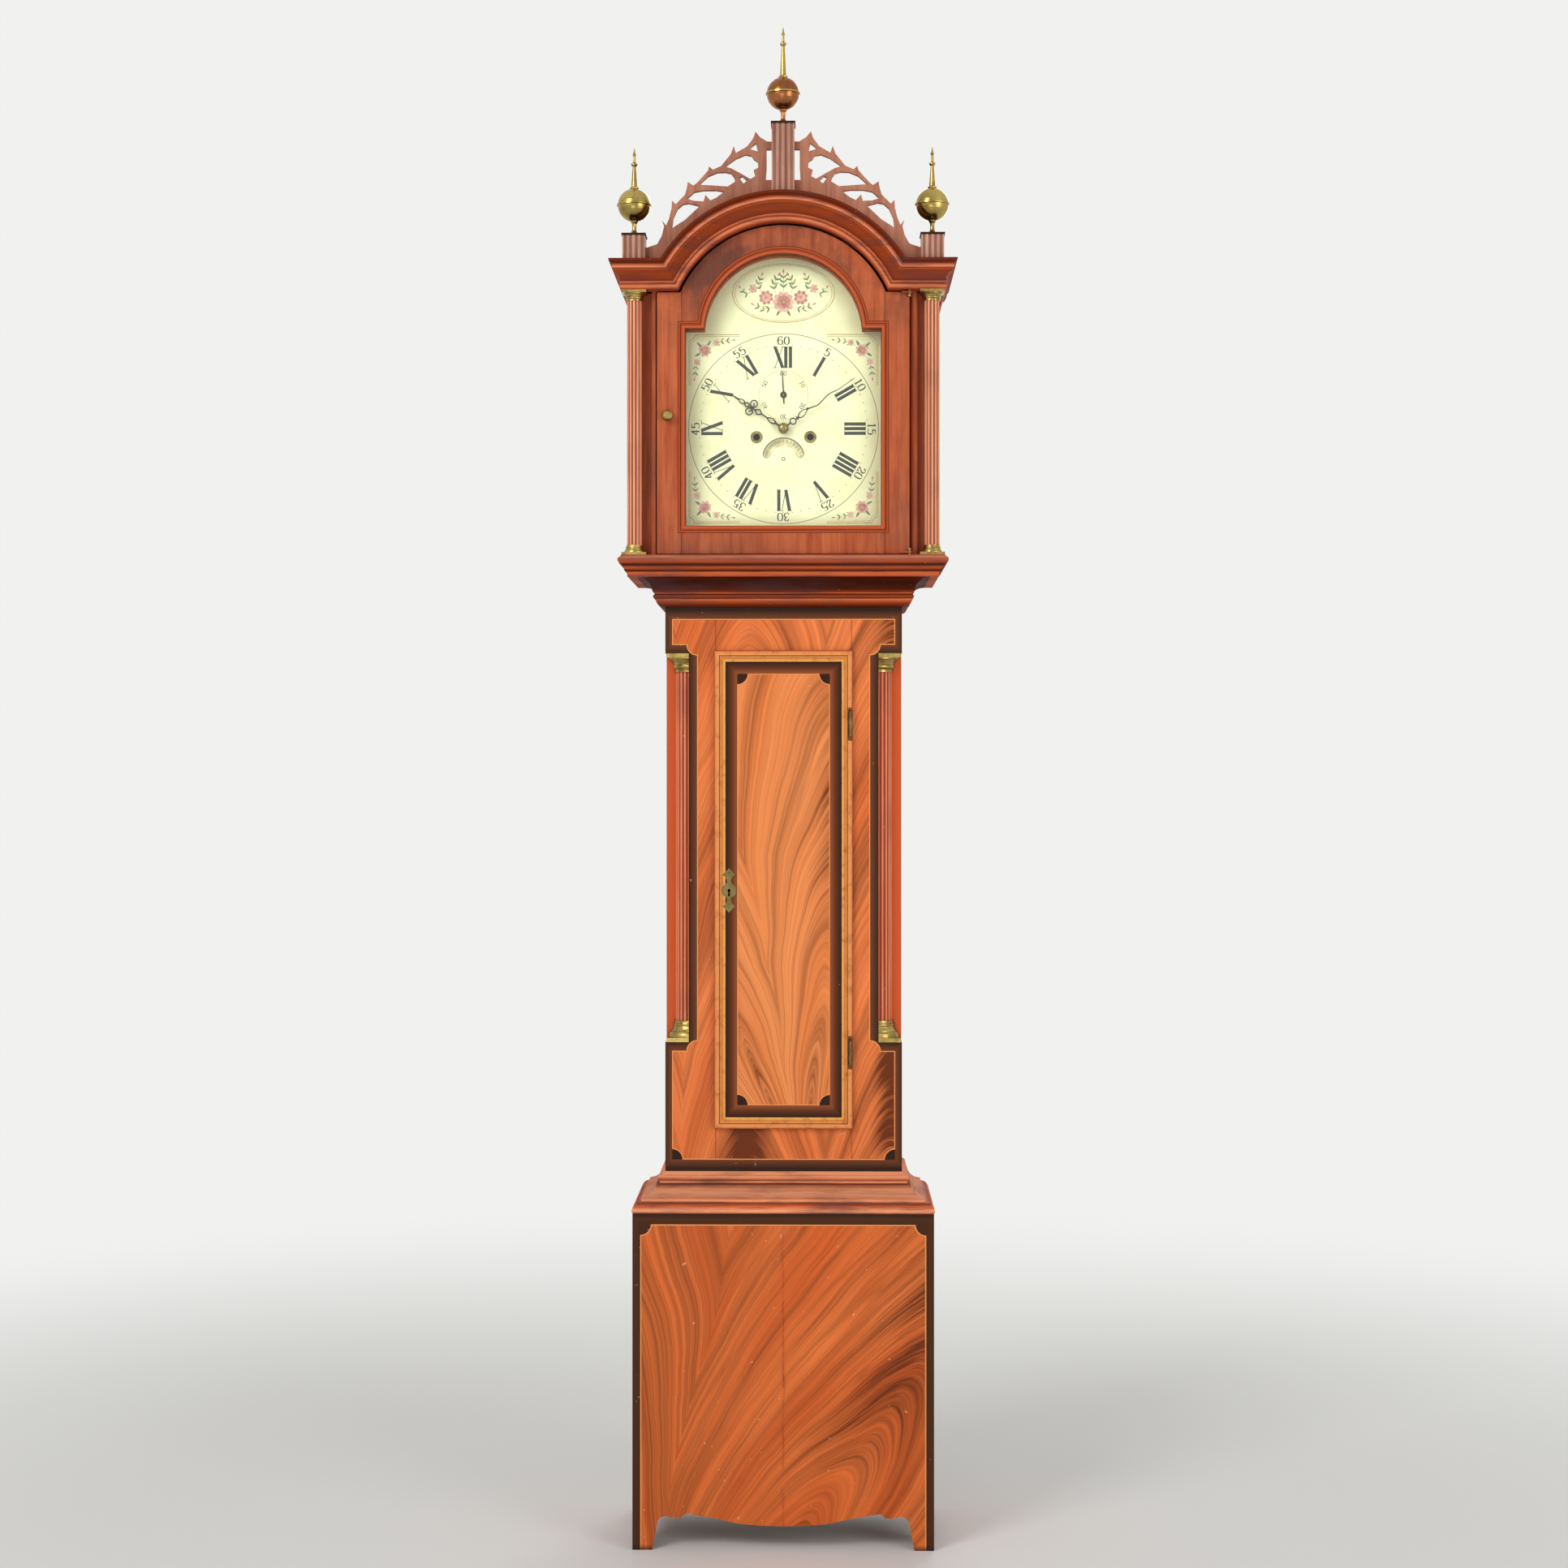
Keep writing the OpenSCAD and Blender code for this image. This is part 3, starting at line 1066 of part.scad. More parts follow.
// The minute hand waves from side to side: distance sideways at a height over the arbor
wave = [[47, -3], [56, -0.5], [64, 1.6], [73, 0.3], [82, -2], [90, -2.8], [98, -1], [106, 0], [136, 0]];
boss_r = 8;
hand_w = 1.8;
fine_w = 1.4;
module minute_hand() color(iron) difference() {
    at_hand(minute_angle, dial_z, minute_hand_y, hand_t) scale(minute_hand_l / 135) {
        circle(r = boss_r);
        stem(0, 13.5, 2.4);
        open_ring(0, 18.3, 5.6, hand_w);
        leaf(22.5, 31, 1.6, 1);
        translate([0, 26.6]) rotate(90) leaf(-4, 4, 1.2, 1);
        open_leaf(26, 49, 4.8, fine_w, 0.9, -3);
        translate([-3, 48]) circle(r = 1.9);
        polygon(concat([for (z = [47:4:135]) [lookup(z, wave) - 1.3 + 0.9 * z / 135, z]],
            [for (z = [135:-4:47]) [lookup(z, wave) + 1.3 - 0.9 * z / 135, z]]));
    }
    at_arbor_end(2, minute_hand_y);
}
module hour_hand() color(iron) difference() {
    at_hand(hour_angle, dial_z, hour_hand_y - hand_t, hand_t) scale(hour_hand_l / 98) {
        circle(r = boss_r);
        stem(0, 14.5, 2.6);
        open_leaf(12.5, 32, 4.4, hand_w, 0.85);
        stem(30, 40, 1.9);
        difference() {
            polygon([[0, 38], [5.4, 46.5], [0, 54.5], [-5.4, 46.5]]);
            polygon([[0, 41.5], [3.3, 46.5], [0, 51], [-3.3, 46.5]]);
        }
        stem(53, 65, 2);
        for (side = [-1, 1]) {
            open_ring(side * 7, 59, 6.3, hand_w);
            translate([side * 7, 59]) rotate(side * -60) stem(-5.6, 0.8, hand_w);
        }
        open_ring(0, 67.3, 4.2, hand_w);
        open_leaf(70, 85, 3.8, fine_w, 0.8);
        polygon([[-1.5, 82.5], [1.5, 82.5], [0.5, 98], [-0.5, 98]]);
    }
    at_arbor_end(2 + running_fit, hour_hand_y);
}
module seconds_hand() color(iron) difference() {
    at_hand(-3, dial_z + seconds_rise, seconds_hand_y, 0.8) {
        circle(r = 5);
        polygon([[-1, 0], [1, 0], [0.5, seconds_hand_l], [-0.5, seconds_hand_l]]);
        polygon([[-0.8, -14], [0.8, -14], [1, 0], [-1, 0]]);
    }
    rod_y(0, dial_z + seconds_rise, seconds_hand_y - cut, seconds_hand_y + 2, pivot_r);
}

// Weights, each on a pulley in the bight of its line
pulley_z = seat_top_z - board_t - 40;
stirrup_h = 58;
weight_z1 = pulley_z - stirrup_h;
pulley_t = 9;
module weight(side) translate([side * winding_x, line_y, 0]) {
    translate([0, 0, weight_z1 - weight_h]) cylinder(r = weight_r, h = weight_h);
    translate([0, 0, weight_z1]) cylinder(r1 = weight_r * 0.8, r2 = 5, h = 9);
    translate([0, 0, weight_z1]) cylinder(r = 2.5, h = 26);
    for (y = [-8, 6]) block(-5, 5, y, y + 2, pulley_z - stirrup_h + 24, pulley_z + 7);
    block(-5, 5, -8, 8, pulley_z - stirrup_h + 22, pulley_z - stirrup_h + 25);
    translate([0, 6, pulley_z]) rotate([90, 0, 0]) cylinder(r = 2, h = 12);
    translate([0, pulley_t / 2, pulley_z]) rotate([90, 0, 0]) rotate_extrude() polygon([[2, 0],
        [drum_r + 3, 0], [drum_r + 3, 1], [drum_r - 1, pulley_t / 2], [drum_r + 3, pulley_t - 1],
        [drum_r + 3, pulley_t], [2, pulley_t]]);
}
module time_weight() color(iron) weight(1);
module strike_weight() color(iron) weight(-1);

module line(side) translate([side * winding_x, line_y, pulley_z]) for (x = [-line_r, line_r])
    translate([x, 0, 0]) cylinder(r = line_d / 2, h = seat_top_z - board_t - pulley_z);
module time_line() color("#C9B080") line(1);
module strike_line() color("#C9B080") line(-1);
module line_tops() color("#C9B080") for (side = [-1, 1]) {
    translate([side * winding_x - line_r, line_y, seat_top_z - board_t])
        cylinder(r = line_d / 2, h = plate_below + board_t - winding_drop);
    translate([side * winding_x + line_r, line_y, seat_top_z - board_t])
        cylinder(r = line_d / 2, h = board_t + 3);
    translate([side * winding_x + line_r, line_y, seat_top_z]) cylinder(r = 3, h = 3);
}

base_front_board();
base_sides();
base_bottom();
backboard();
base_moulding();
waist_frame();
corner_posts();
waist_sides();
quarter_columns();
quarter_column_brasses();
throat_moulding();
hinge_case_leaves();
seatboard();
waist_door();
waist_door_moulding();
hinge_door_leaves();
escutcheon();
door_lock();
lock_bolt();
hood_base();
hood_sides();
hood_frame();
hood_frieze();
hood_cornice();
hood_roof();
hood_columns();
hood_column_brasses();
hood_hinge_pins();
frets();
plinths();
centre_finial();
side_finials();
hood_door();
hood_glass();
hood_door_knob();
hood_door_straps();
dial();
winding_grommets();
calendar_wheel();
movement_plates();
back_cock();
bell();
time_drum();
centre_arbor();
minute_hand();
motion_wheel();
hour_wheel();
hour_hand();
third_wheel();
escape_wheel();
seconds_hand();
anchor();
pendulum();
strike_drum();
hammer();
time_weight();
strike_weight();
time_line();
strike_line();
line_tops();
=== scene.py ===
import math
import json

import bmesh
import bpy
from mathutils import Matrix, Vector


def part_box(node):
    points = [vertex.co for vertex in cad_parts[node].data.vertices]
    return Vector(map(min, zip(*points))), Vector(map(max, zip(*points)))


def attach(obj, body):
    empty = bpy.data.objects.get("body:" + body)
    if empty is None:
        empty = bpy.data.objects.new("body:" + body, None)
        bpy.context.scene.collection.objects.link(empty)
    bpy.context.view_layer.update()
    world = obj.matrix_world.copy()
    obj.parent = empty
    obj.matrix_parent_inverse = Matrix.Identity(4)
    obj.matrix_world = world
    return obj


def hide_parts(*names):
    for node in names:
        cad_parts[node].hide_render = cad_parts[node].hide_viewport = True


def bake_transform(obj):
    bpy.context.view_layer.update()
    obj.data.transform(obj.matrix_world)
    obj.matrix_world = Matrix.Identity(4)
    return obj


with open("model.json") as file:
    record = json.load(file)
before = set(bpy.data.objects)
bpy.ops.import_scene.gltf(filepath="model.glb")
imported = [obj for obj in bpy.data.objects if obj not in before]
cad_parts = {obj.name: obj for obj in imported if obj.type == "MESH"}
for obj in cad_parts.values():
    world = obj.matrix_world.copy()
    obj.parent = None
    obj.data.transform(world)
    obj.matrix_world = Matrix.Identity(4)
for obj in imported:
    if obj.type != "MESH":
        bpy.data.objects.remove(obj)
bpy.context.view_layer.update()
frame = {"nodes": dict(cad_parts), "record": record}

# Camera, floor and studio light: the clock is seen square from the front, at the height of its
# waist, a little from the right.
mm = 0.001
eye_height = 1181 * mm
eye_distance = 4102 * mm
orbit = math.radians(0.75)
camera = bpy.data.objects.new("camera", bpy.data.cameras.new("camera"))
bpy.context.collection.objects.link(camera)
camera.data.lens = 59.6
camera.data.sensor_width = 36
camera.location = (eye_distance * math.sin(orbit), -eye_distance * math.cos(orbit), eye_height)
camera.rotation_euler = (math.pi / 2, 0, orbit)
bpy.context.scene.camera = camera
bpy.context.scene.view_settings.view_transform = "Standard"


def linear(hex_colour):
    """An sRGB hex colour as linear red, green, blue and alpha."""
    parts = [int(hex_colour[i:i + 2], 16) / 255 for i in (1, 3, 5)]
    return tuple(p / 12.92 if p <= 0.04045 else ((p + 0.055) / 1.055) ** 2.4 for p in parts) + (1,)


def live(node):
    """The first output of a node that is in use."""
    return next(s for s in node.outputs if s.enabled)


def feed(tree, node, inputs):
    """Sets inputs of a shader node, by their names or numbers, to values, hex colours, sockets or
    the first live outputs of other nodes."""
    for key, value in inputs.items() if isinstance(inputs, dict) else enumerate(inputs):
        if isinstance(key, str):
            socket = next(s for s in node.inputs if s.enabled and s.name == key)
        else:
            socket = node.inputs[key]
        if isinstance(value, bpy.types.Node):
            value = live(value)
        if isinstance(value, bpy.types.NodeSocket):
            tree.links.new(value, socket)
        else:
            socket.default_value = linear(value) if isinstance(value, str) else value


def add(tree, kind, inputs=(), ramp=(), **settings):
    """Adds a shader node. A ramp is a list of places and hex colours, with its two ends first."""
    node = tree.nodes.new(kind)
    for key, value in settings.items():
        setattr(node, key, value)
    feed(tree, node, inputs)
    for number, (place, colour) in enumerate(ramp):
        stops = node.color_ramp.elements
        stop = stops[number] if number < 2 else stops.new(place)
        stop.position = place
        stop.color = linear(colour)
    return node


backdrop = "#F1F1EF"
world = bpy.data.worlds.new("studio")
bpy.context.scene.world = world
world.use_nodes = True
tree = world.node_tree
tree.nodes.clear()
path = add(tree, "ShaderNodeLightPath")
seen = add(tree, "ShaderNodeMath", [path.outputs["Is Camera Ray"],
                                    path.outputs["Is Transmission Ray"]], operation="MAXIMUM")
mirrored = add(tree, "ShaderNodeMath", [seen, path.outputs["Is Glossy Ray"]], operation="MAXIMUM")
soft = add(tree, "ShaderNodeBackground", {"Color": "#FFFFFF", "Strength": 0.36})
shown = add(tree, "ShaderNodeBackground", {"Color": backdrop, "Strength": 1.0})
light = add(tree, "ShaderNodeMixShader", [mirrored, soft, shown])
add(tree, "ShaderNodeOutputWorld", {"Surface": light})

waist_middle = 1150 * mm
for name, place, size, power in (
        ("key", (-2.3, -3.1, 3.3), 1.6, 70),
        ("fill", (2.8, -3.0, 1.7), 2.0, 45),
        ("low", (-0.6, -3.8, 0.7), 1.6, 14),
        ("rear", (0.6, 3.2, 2.8), 2.4, 48)):
    lamp = bpy.data.objects.new(name, bpy.data.lights.new(name, "AREA"))
    bpy.context.collection.objects.link(lamp)
    lamp.data.size = size
    lamp.data.energy = power
    lamp.location = place
    aim = Vector((0, 0, waist_middle)) - lamp.location
    lamp.rotation_euler = aim.to_track_quat("-Z", "Y").to_euler()


def new_material(name):
    """A material with one Principled shader, and its tree and shader."""
    material = bpy.data.materials.new(name)
    material.use_nodes = True
    tree = material.node_tree
    tree.nodes.clear()
    shader = tree.nodes.new("ShaderNodeBsdfPrincipled")
    add(tree, "ShaderNodeOutputMaterial", {"Surface": shader})
    return material, tree, shader


def new_piece(name, form, *materials):
    """A finished object made of a bmesh whose place is in its vertices."""
    mesh = bpy.data.meshes.new(name)
    form.to_mesh(mesh)
    form.free()
    piece = bpy.data.objects.new(name, mesh)
    bpy.context.collection.objects.link(piece)
    for material in materials:
        mesh.materials.append(material)
    return piece


# Floor: a matt pale sheet, which takes the clock's shadow near the clock and fades into the
# backdrop further off.
floor_material, tree, shader = new_material("matt_studio_floor")
feed(tree, shader, {"Base Color": "#E6E6E3", "Roughness": 0.9})
spot = add(tree, "ShaderNodeTexCoord").outputs["Object"]
off = add(tree, "ShaderNodeVectorMath", [spot], operation="LENGTH")
far = add(tree, "ShaderNodeMapRange", {"Value": off, "From Min": 0.9, "From Max": 3.2},
          interpolation_type="SMOOTHSTEP")
glow = add(tree, "ShaderNodeEmission", {"Color": backdrop, "Strength": 1.0})
blend = add(tree, "ShaderNodeMixShader", [far, shader, glow])
out = next(n for n in tree.nodes if n.type == "OUTPUT_MATERIAL")
feed(tree, out, {"Surface": blend})
form = bmesh.new()
bmesh.ops.create_circle(form, cap_ends=True, segments=64, radius=12)
floor = new_piece("floor", form, floor_material)


# Base: a box of pine boards with bracket feet and a scalloped skirt. The front is painted salmon
# and combed with brown glaze into swirling grain, inside a thin light line and a dark band.
def object_xyz(tree):
    """Sockets of the object's own x, y and z in metres."""
    spot = add(tree, "ShaderNodeTexCoord").outputs["Object"]
    return add(tree, "ShaderNodeSeparateXYZ", [spot]).outputs


def from_line(tree, coordinate, line):
    """How far a point lies from a line across the coordinate, on either side."""
    off = add(tree, "ShaderNodeMath", [coordinate, line], operation="SUBTRACT")
    return add(tree, "ShaderNodeMath", [off], operation="ABSOLUTE")


def from_point(tree, coordinates, point=(0, 0)):
    """How far a point lies from another, in the plane of the two coordinates."""
    ways = [add(tree, "ShaderNodeMath", [value, middle], operation="SUBTRACT") if middle else value
            for value, middle in zip(coordinates, point)]
    way = add(tree, "ShaderNodeCombineXYZ", ways)
    return add(tree, "ShaderNodeVectorMath", [way], operation="LENGTH")


def patches(tree, spot, scale, detail, roughness, none, full, most):
    """Soft-edged patches: 0 where a noise pattern is at none or under, most at full or over."""
    noise = add(tree, "ShaderNodeTexNoise", {"Vector": spot, "Scale": scale, "Detail": detail,
                                             "Roughness": roughness})
    return add(tree, "ShaderNodeMapRange", {"Value": noise, "From Min": none, "From Max": full,
                                            "To Max": most})


def inset(tree, x, z, middle, half, corner):
    """How far a point lies inside a painted rectangle whose corners are cut by round bites."""
    gaps = []
    for value, centre, reach in zip((x, z), middle, half):
        off = from_line(tree, value, centre)
        gaps.append(add(tree, "ShaderNodeMath", [reach, off], operation="SUBTRACT"))
    inside = add(tree, "ShaderNodeMath", gaps, operation="MINIMUM")
    if corner:
        far = from_point(tree, gaps)
        bite = add(tree, "ShaderNodeMath", [far, corner], operation="SUBTRACT")
        inside = add(tree, "ShaderNodeMath", [inside, bite], operation="MINIMUM")
    return inside


def glazed_grain(tree, x, z, arch, half, depth, paint, glaze, seed, strength=1.0):
    """Paint combed into nested arches. arch is the x of the arches' middle line at the floor and
    its slope with height, half the same for the way over to the nested hollows beside them, and
    depth how far the strokes rise from hollow to arch. Returns the colour."""
    place = add(tree, "ShaderNodeCombineXYZ", [x, seed, z])
    for scale, reach in ((3.5, 0.06), (17.0, 0.006)):
        bend = add(tree, "ShaderNodeTexNoise", {"Vector": place, "Scale": scale, "Detail": 1})
        sway = add(tree, "ShaderNodeVectorMath", [bend.outputs["Color"], (0.5, 0.5, 0.5)],
                   operation="SUBTRACT")
        sway = add(tree, "ShaderNodeVectorMath", {0: sway, "Scale": reach}, operation="SCALE")
        place = add(tree, "ShaderNodeVectorMath", [place, sway], operation="ADD")
    place = add(tree, "ShaderNodeSeparateXYZ", [place])
    across, high = place.outputs[0], place.outputs[2]
    middle = add(tree, "ShaderNodeMath", [high, arch[1], arch[0]], operation="MULTIPLY_ADD")
    span = add(tree, "ShaderNodeMath", [high, half[1], half[0]], operation="MULTIPLY_ADD")
    off = add(tree, "ShaderNodeMath", [across, middle], operation="SUBTRACT")
    turn = add(tree, "ShaderNodeMath", [off, span], operation="DIVIDE")
    fold = add(tree, "ShaderNodeMath", [turn, 1.0], operation="PINGPONG")
    eased = add(tree, "ShaderNodeMath", [fold, 1.7], operation="POWER")
    flow = add(tree, "ShaderNodeMath", [eased, depth, high], operation="MULTIPLY_ADD")
    stroke = add(tree, "ShaderNodeCombineXYZ", [flow, across, seed])
    layers = []
    for scales, detail, roughness in (((15, 2.2, 1), 3, 0.5), ((125, 8, 1), 4, 0.65),
                                      ((8, 1.8, 7), 2, 0.4), ((5, 1.6, 9), 1, 0.4)):
        wide = add(tree, "ShaderNodeMapping", {"Vector": stroke, "Scale": scales})
        layers.append(add(tree, "ShaderNodeTexNoise", {"Vector": wide, "Scale": 1,
                                                       "Detail": detail, "Roughness": roughness}))
    broad, fine, line, plume = layers
    crest = add(tree, "ShaderNodeMapRange", {"Value": fold, "From Min": 0.36, "From Max": 0.02},
                interpolation_type="SMOOTHSTEP")
    plume = add(tree, "ShaderNodeMapRange", {"Value": plume, "From Min": 0.38, "From Max": 0.6})
    crest = add(tree, "ShaderNodeMath", [crest, plume], operation="MULTIPLY")
    ridge = from_line(tree, line, 0.5)
    ridge = add(tree, "ShaderNodeMapRange", {"Value": ridge, "From Min": 0.03, "From Max": 0.001,
                                             "To Max": 0.42 * strength})
    shade = add(tree, "ShaderNodeMapRange", {"Value": broad, "From Min": 0.45, "From Max": 0.74,
                                             "To Max": 0.62 * strength})
    crested = add(tree, "ShaderNodeMath", [crest, 0.46 * strength, shade],
                  operation="MULTIPLY_ADD")
    hair = add(tree, "ShaderNodeMapRange", {"Value": fine, "From Min": 0.4, "From Max": 0.72,
                                            "To Max": 0.42 * strength})
    combed = add(tree, "ShaderNodeMath", [crest, 1.6, 1.0], operation="MULTIPLY_ADD")
    hair = add(tree, "ShaderNodeMath", [hair, combed], operation="MULTIPLY")
    dark = add(tree, "ShaderNodeMath", [crested, hair], operation="ADD")
    dark = add(tree, "ShaderNodeMath", [dark, ridge], operation="MAXIMUM", use_clamp=True)
    cloud = add(tree, "ShaderNodeTexNoise", {"Vector": stroke, "Scale": 5, "Detail": 3})
    ground = add(tree, "ShaderNodeValToRGB", [cloud], ramp=[(0.3, paint[0]), (0.7, paint[1])])
    return add(tree, "ShaderNodeMix", {"Factor": dark, "A": ground, "B": glaze}, data_type="RGBA")


def line_and_band(tree, depth, edge, line_w, band_w, past, tones):
    """The masks of a light line inside a painted edge and of the band outside it, and the band's
    colours from band_w outside the straight edge to past inside it."""
    line = add(tree, "ShaderNodeMath", [depth, line_w], operation="LESS_THAN")
    band = add(tree, "ShaderNodeMath", [depth, 0.0], operation="LESS_THAN")
    fade = add(tree, "ShaderNodeMapRange", {"Value": edge, "From Min": -band_w, "From Max": past})
    return line, band, add(tree, "ShaderNodeValToRGB", [fade], ramp=tones)


def chips(tree, colour, pale, scale, least, seed=0.0):
    """Small chips and scratches where the paint is gone."""
    spot = add(tree, "ShaderNodeTexCoord").outputs["Object"]
    shift = add(tree, "ShaderNodeVectorMath", [spot, (seed, seed, 0)], operation="ADD")
    gone = patches(tree, shift, scale=scale, detail=3, roughness=0.7, none=least,
                   full=least + 0.02, most=0.75)
    return add(tree, "ShaderNodeMix", {"Factor": gone, "A": colour, "B": pale}, data_type="RGBA")


def old_paint(tree, shader, colour, roughness=0.45, shine=0.12):
    """Old oil paint: rubbed to an uneven soft gloss, with brush marks and small dents."""
    feed(tree, shader, {"Base Color": colour, "Specular IOR Level": shine})
    spot = add(tree, "ShaderNodeTexCoord").outputs["Object"]
    rub = add(tree, "ShaderNodeTexNoise", {"Vector": spot, "Scale": 14, "Detail": 4})
    gloss = add(tree, "ShaderNodeMapRange", {"Value": rub, "From Min": 0.3, "From Max": 0.7,
                                             "To Min": roughness - 0.07,
                                             "To Max": roughness + 0.12})
    feed(tree, shader, {"Roughness": gloss})
    grain = add(tree, "ShaderNodeMapping", {"Vector": spot, "Scale": (900, 900, 60)})
    brush = add(tree, "ShaderNodeTexNoise", {"Vector": grain, "Scale": 1, "Detail": 3})
    bump = add(tree, "ShaderNodeBump", {"Height": brush, "Strength": 0.05, "Distance": 0.001})
    feed(tree, shader, {"Normal": bump})


def dress(material, *nodes):
    """Gives CAD nodes their finish."""
    for name in nodes:
        materials = frame["nodes"][name].data.materials
        materials.clear()
        materials.append(material)


def bare_pine(tree):
    """Pine, sawn and planed, brown with age. Returns its colour and its fibres."""
    spot = add(tree, "ShaderNodeTexCoord").outputs["Object"]
    sway = add(tree, "ShaderNodeTexNoise", {"Vector": spot, "Scale": 2.2, "Detail": 2})
    shift = add(tree, "ShaderNodeVectorMath", {0: sway.outputs["Color"], "Scale": 0.06},
                operation="SCALE")
    place = add(tree, "ShaderNodeVectorMath", [spot, shift], operation="ADD")
    rings = add(tree, "ShaderNodeMapping", {"Vector": place, "Scale": (95, 60, 3.2)})
    rings = add(tree, "ShaderNodeTexNoise", {"Vector": rings, "Scale": 1, "Detail": 5,
                                             "Roughness": 0.6})
    tone = add(tree, "ShaderNodeValToRGB", [rings], ramp=[(0.3, "#4E3520"), (0.75, "#9A7248"),
                                                          (0.5, "#7C5835")])
    fibre = add(tree, "ShaderNodeMapping", {"Vector": place, "Scale": (900, 900, 16)})
    fibre = add(tree, "ShaderNodeTexNoise", {"Vector": fibre, "Scale": 1, "Detail": 3})
    rough = add(tree, "ShaderNodeMapRange", {"Value": fibre, "To Max": 0.45})
    tone = add(tree, "ShaderNodeMix", {"Factor": rough, "A": tone, "B": "#3A2818"},
               data_type="RGBA")
    return tone, fibre


def unpainted(tree, colour, inside):
    """Bare pine where inside is 1: the face of a board that looks into the case."""
    pine = bare_pine(tree)[0]
    return add(tree, "ShaderNodeMix", {"Factor": inside, "A": colour, "B": pine}, data_type="RGBA")


salmon = ("#D8622A", "#EA7C3E")
glaze_brown = "#6A2F12"
string_orange = "#E89454"
front_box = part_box("base_front_board")
base_top = front_box[1].z
base_half = front_box[1].x
base_string_x = base_half - 12 * mm
string_w = 1.8 * mm
bite_r = 16.4 * mm
rail = 16 * mm
skin = 0.3 * mm
# The painted frame runs off the foot of the board, so its box reaches far below the floor.
endless = 1.0
string_box = ((0, base_top - rail - endless), (base_string_x, endless))

base_paint, tree, shader = new_material("grained_paint_on_base_front")
x, y, z = object_xyz(tree)
colour = glazed_grain(tree, x, z, arch=(0.0126, 0.679), half=(0.206, 0.45), depth=0.85,
                      paint=salmon, glaze=glaze_brown, seed=3.1)
# The board has split near its middle: a fine crack with a red stain along it, here and there.
height = add(tree, "ShaderNodeCombineXYZ", {2: z})
seam = add(tree, "ShaderNodeTexNoise", {"Vector": height, "Scale": 14, "Detail": 3})
seam = add(tree, "ShaderNodeMath", [seam, 0.012, -0.006], operation="MULTIPLY_ADD")
seam = from_line(tree, x, seam)
runs = patches(tree, height, scale=13, detail=5, roughness=0.7, none=0.42, full=0.62, most=0.75)
stain = add(tree, "ShaderNodeMapRange", {"Value": seam, "From Min": 0.005, "From Max": 0.0006,
                                         "To Max": 0.6})
stain = add(tree, "ShaderNodeMath", [stain, runs], operation="MULTIPLY")
crack = add(tree, "ShaderNodeMapRange", {"Value": seam, "From Min": 0.0008, "From Max": 0.0003})
crack = add(tree, "ShaderNodeMath", [crack, runs], operation="MULTIPLY")
# A light line with the corners bitten off, and outside it a dark band, lighter in its middle.
line, band, dark = line_and_band(
    tree, inset(tree, x, z, *string_box, bite_r), inset(tree, x, z, *string_box, 0),
    string_w, rail, 0.0, [(0.0, "#2E160A"), (1.0, "#432411"), (0.5, "#4C2A14")])
toe = add(tree, "ShaderNodeMapRange", {"Value": z, "From Min": 0.009, "From Max": 0.001,
                                       "To Max": 0.85})
for where, coat in ((stain, "#A8381C"), (crack, "#5A2416"), (line, string_orange), (band, dark),
                    (toe, "#2A160E")):
    colour = add(tree, "ShaderNodeMix", {"Factor": where, "A": colour, "B": coat},
                 data_type="RGBA")
colour = chips(tree, colour, "#E9B48A", scale=95, least=0.71)
inside = add(tree, "ShaderNodeMath", [y, front_box[1].y - skin], operation="GREATER_THAN")
old_paint(tree, shader, unpainted(tree, colour, inside))
dress(base_paint, "base_front_board")

# Side boards of the base and the waist: pine, painted and combed like the front, less strongly,
# and left bare inside. The waist's are set in from the base's by the depth of its moulding.
side_paint, tree, shader = new_material("grained_paint_on_sides")
x, y, z = object_xyz(tree)
colour = glazed_grain(tree, y, z, arch=(0.03, 0.05), half=(0.16, 0.02), depth=0.42, paint=salmon,
                      glaze=glaze_brown, seed=8.7, strength=0.8)
toe = add(tree, "ShaderNodeMapRange", {"Value": z, "From Min": 0.012, "From Max": 0.001,
                                       "To Max": 0.85})
colour = add(tree, "ShaderNodeMix", {"Factor": toe, "A": colour, "B": "#2A160E"}, data_type="RGBA")
colour = chips(tree, colour, "#E9B48A", scale=95, least=0.7)
board_t = base_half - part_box("base_bottom")[1].x
waist_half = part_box("corner_posts")[1].x
upper = add(tree, "ShaderNodeMath", [z, base_top], operation="GREATER_THAN")
limit = add(tree, "ShaderNodeMath", [upper, waist_half - base_half, base_half - board_t + skin],
            operation="MULTIPLY_ADD")
side = add(tree, "ShaderNodeMath", [x], operation="ABSOLUTE")
inside = add(tree, "ShaderNodeMath", [side, limit], operation="LESS_THAN")
old_paint(tree, shader, unpainted(tree, colour, inside), roughness=0.5)
dress(side_paint, "base_sides", "waist_sides")

# Inside boards: the bottom board, the backboard and the seatboard that carries the movement. They
# are of pine, sawn and planed, never painted, and brown with age.
pine, tree, shader = new_material("bare_old_pine")
tone, fibre = bare_pine(tree)
feed(tree, shader, {"Base Color": tone, "Roughness": 0.75})
bump = add(tree, "ShaderNodeBump", {"Height": fibre, "Strength": 0.25, "Distance": 0.0006})
feed(tree, shader, {"Normal": bump})
dress(pine, "base_bottom", "backboard", "seatboard")


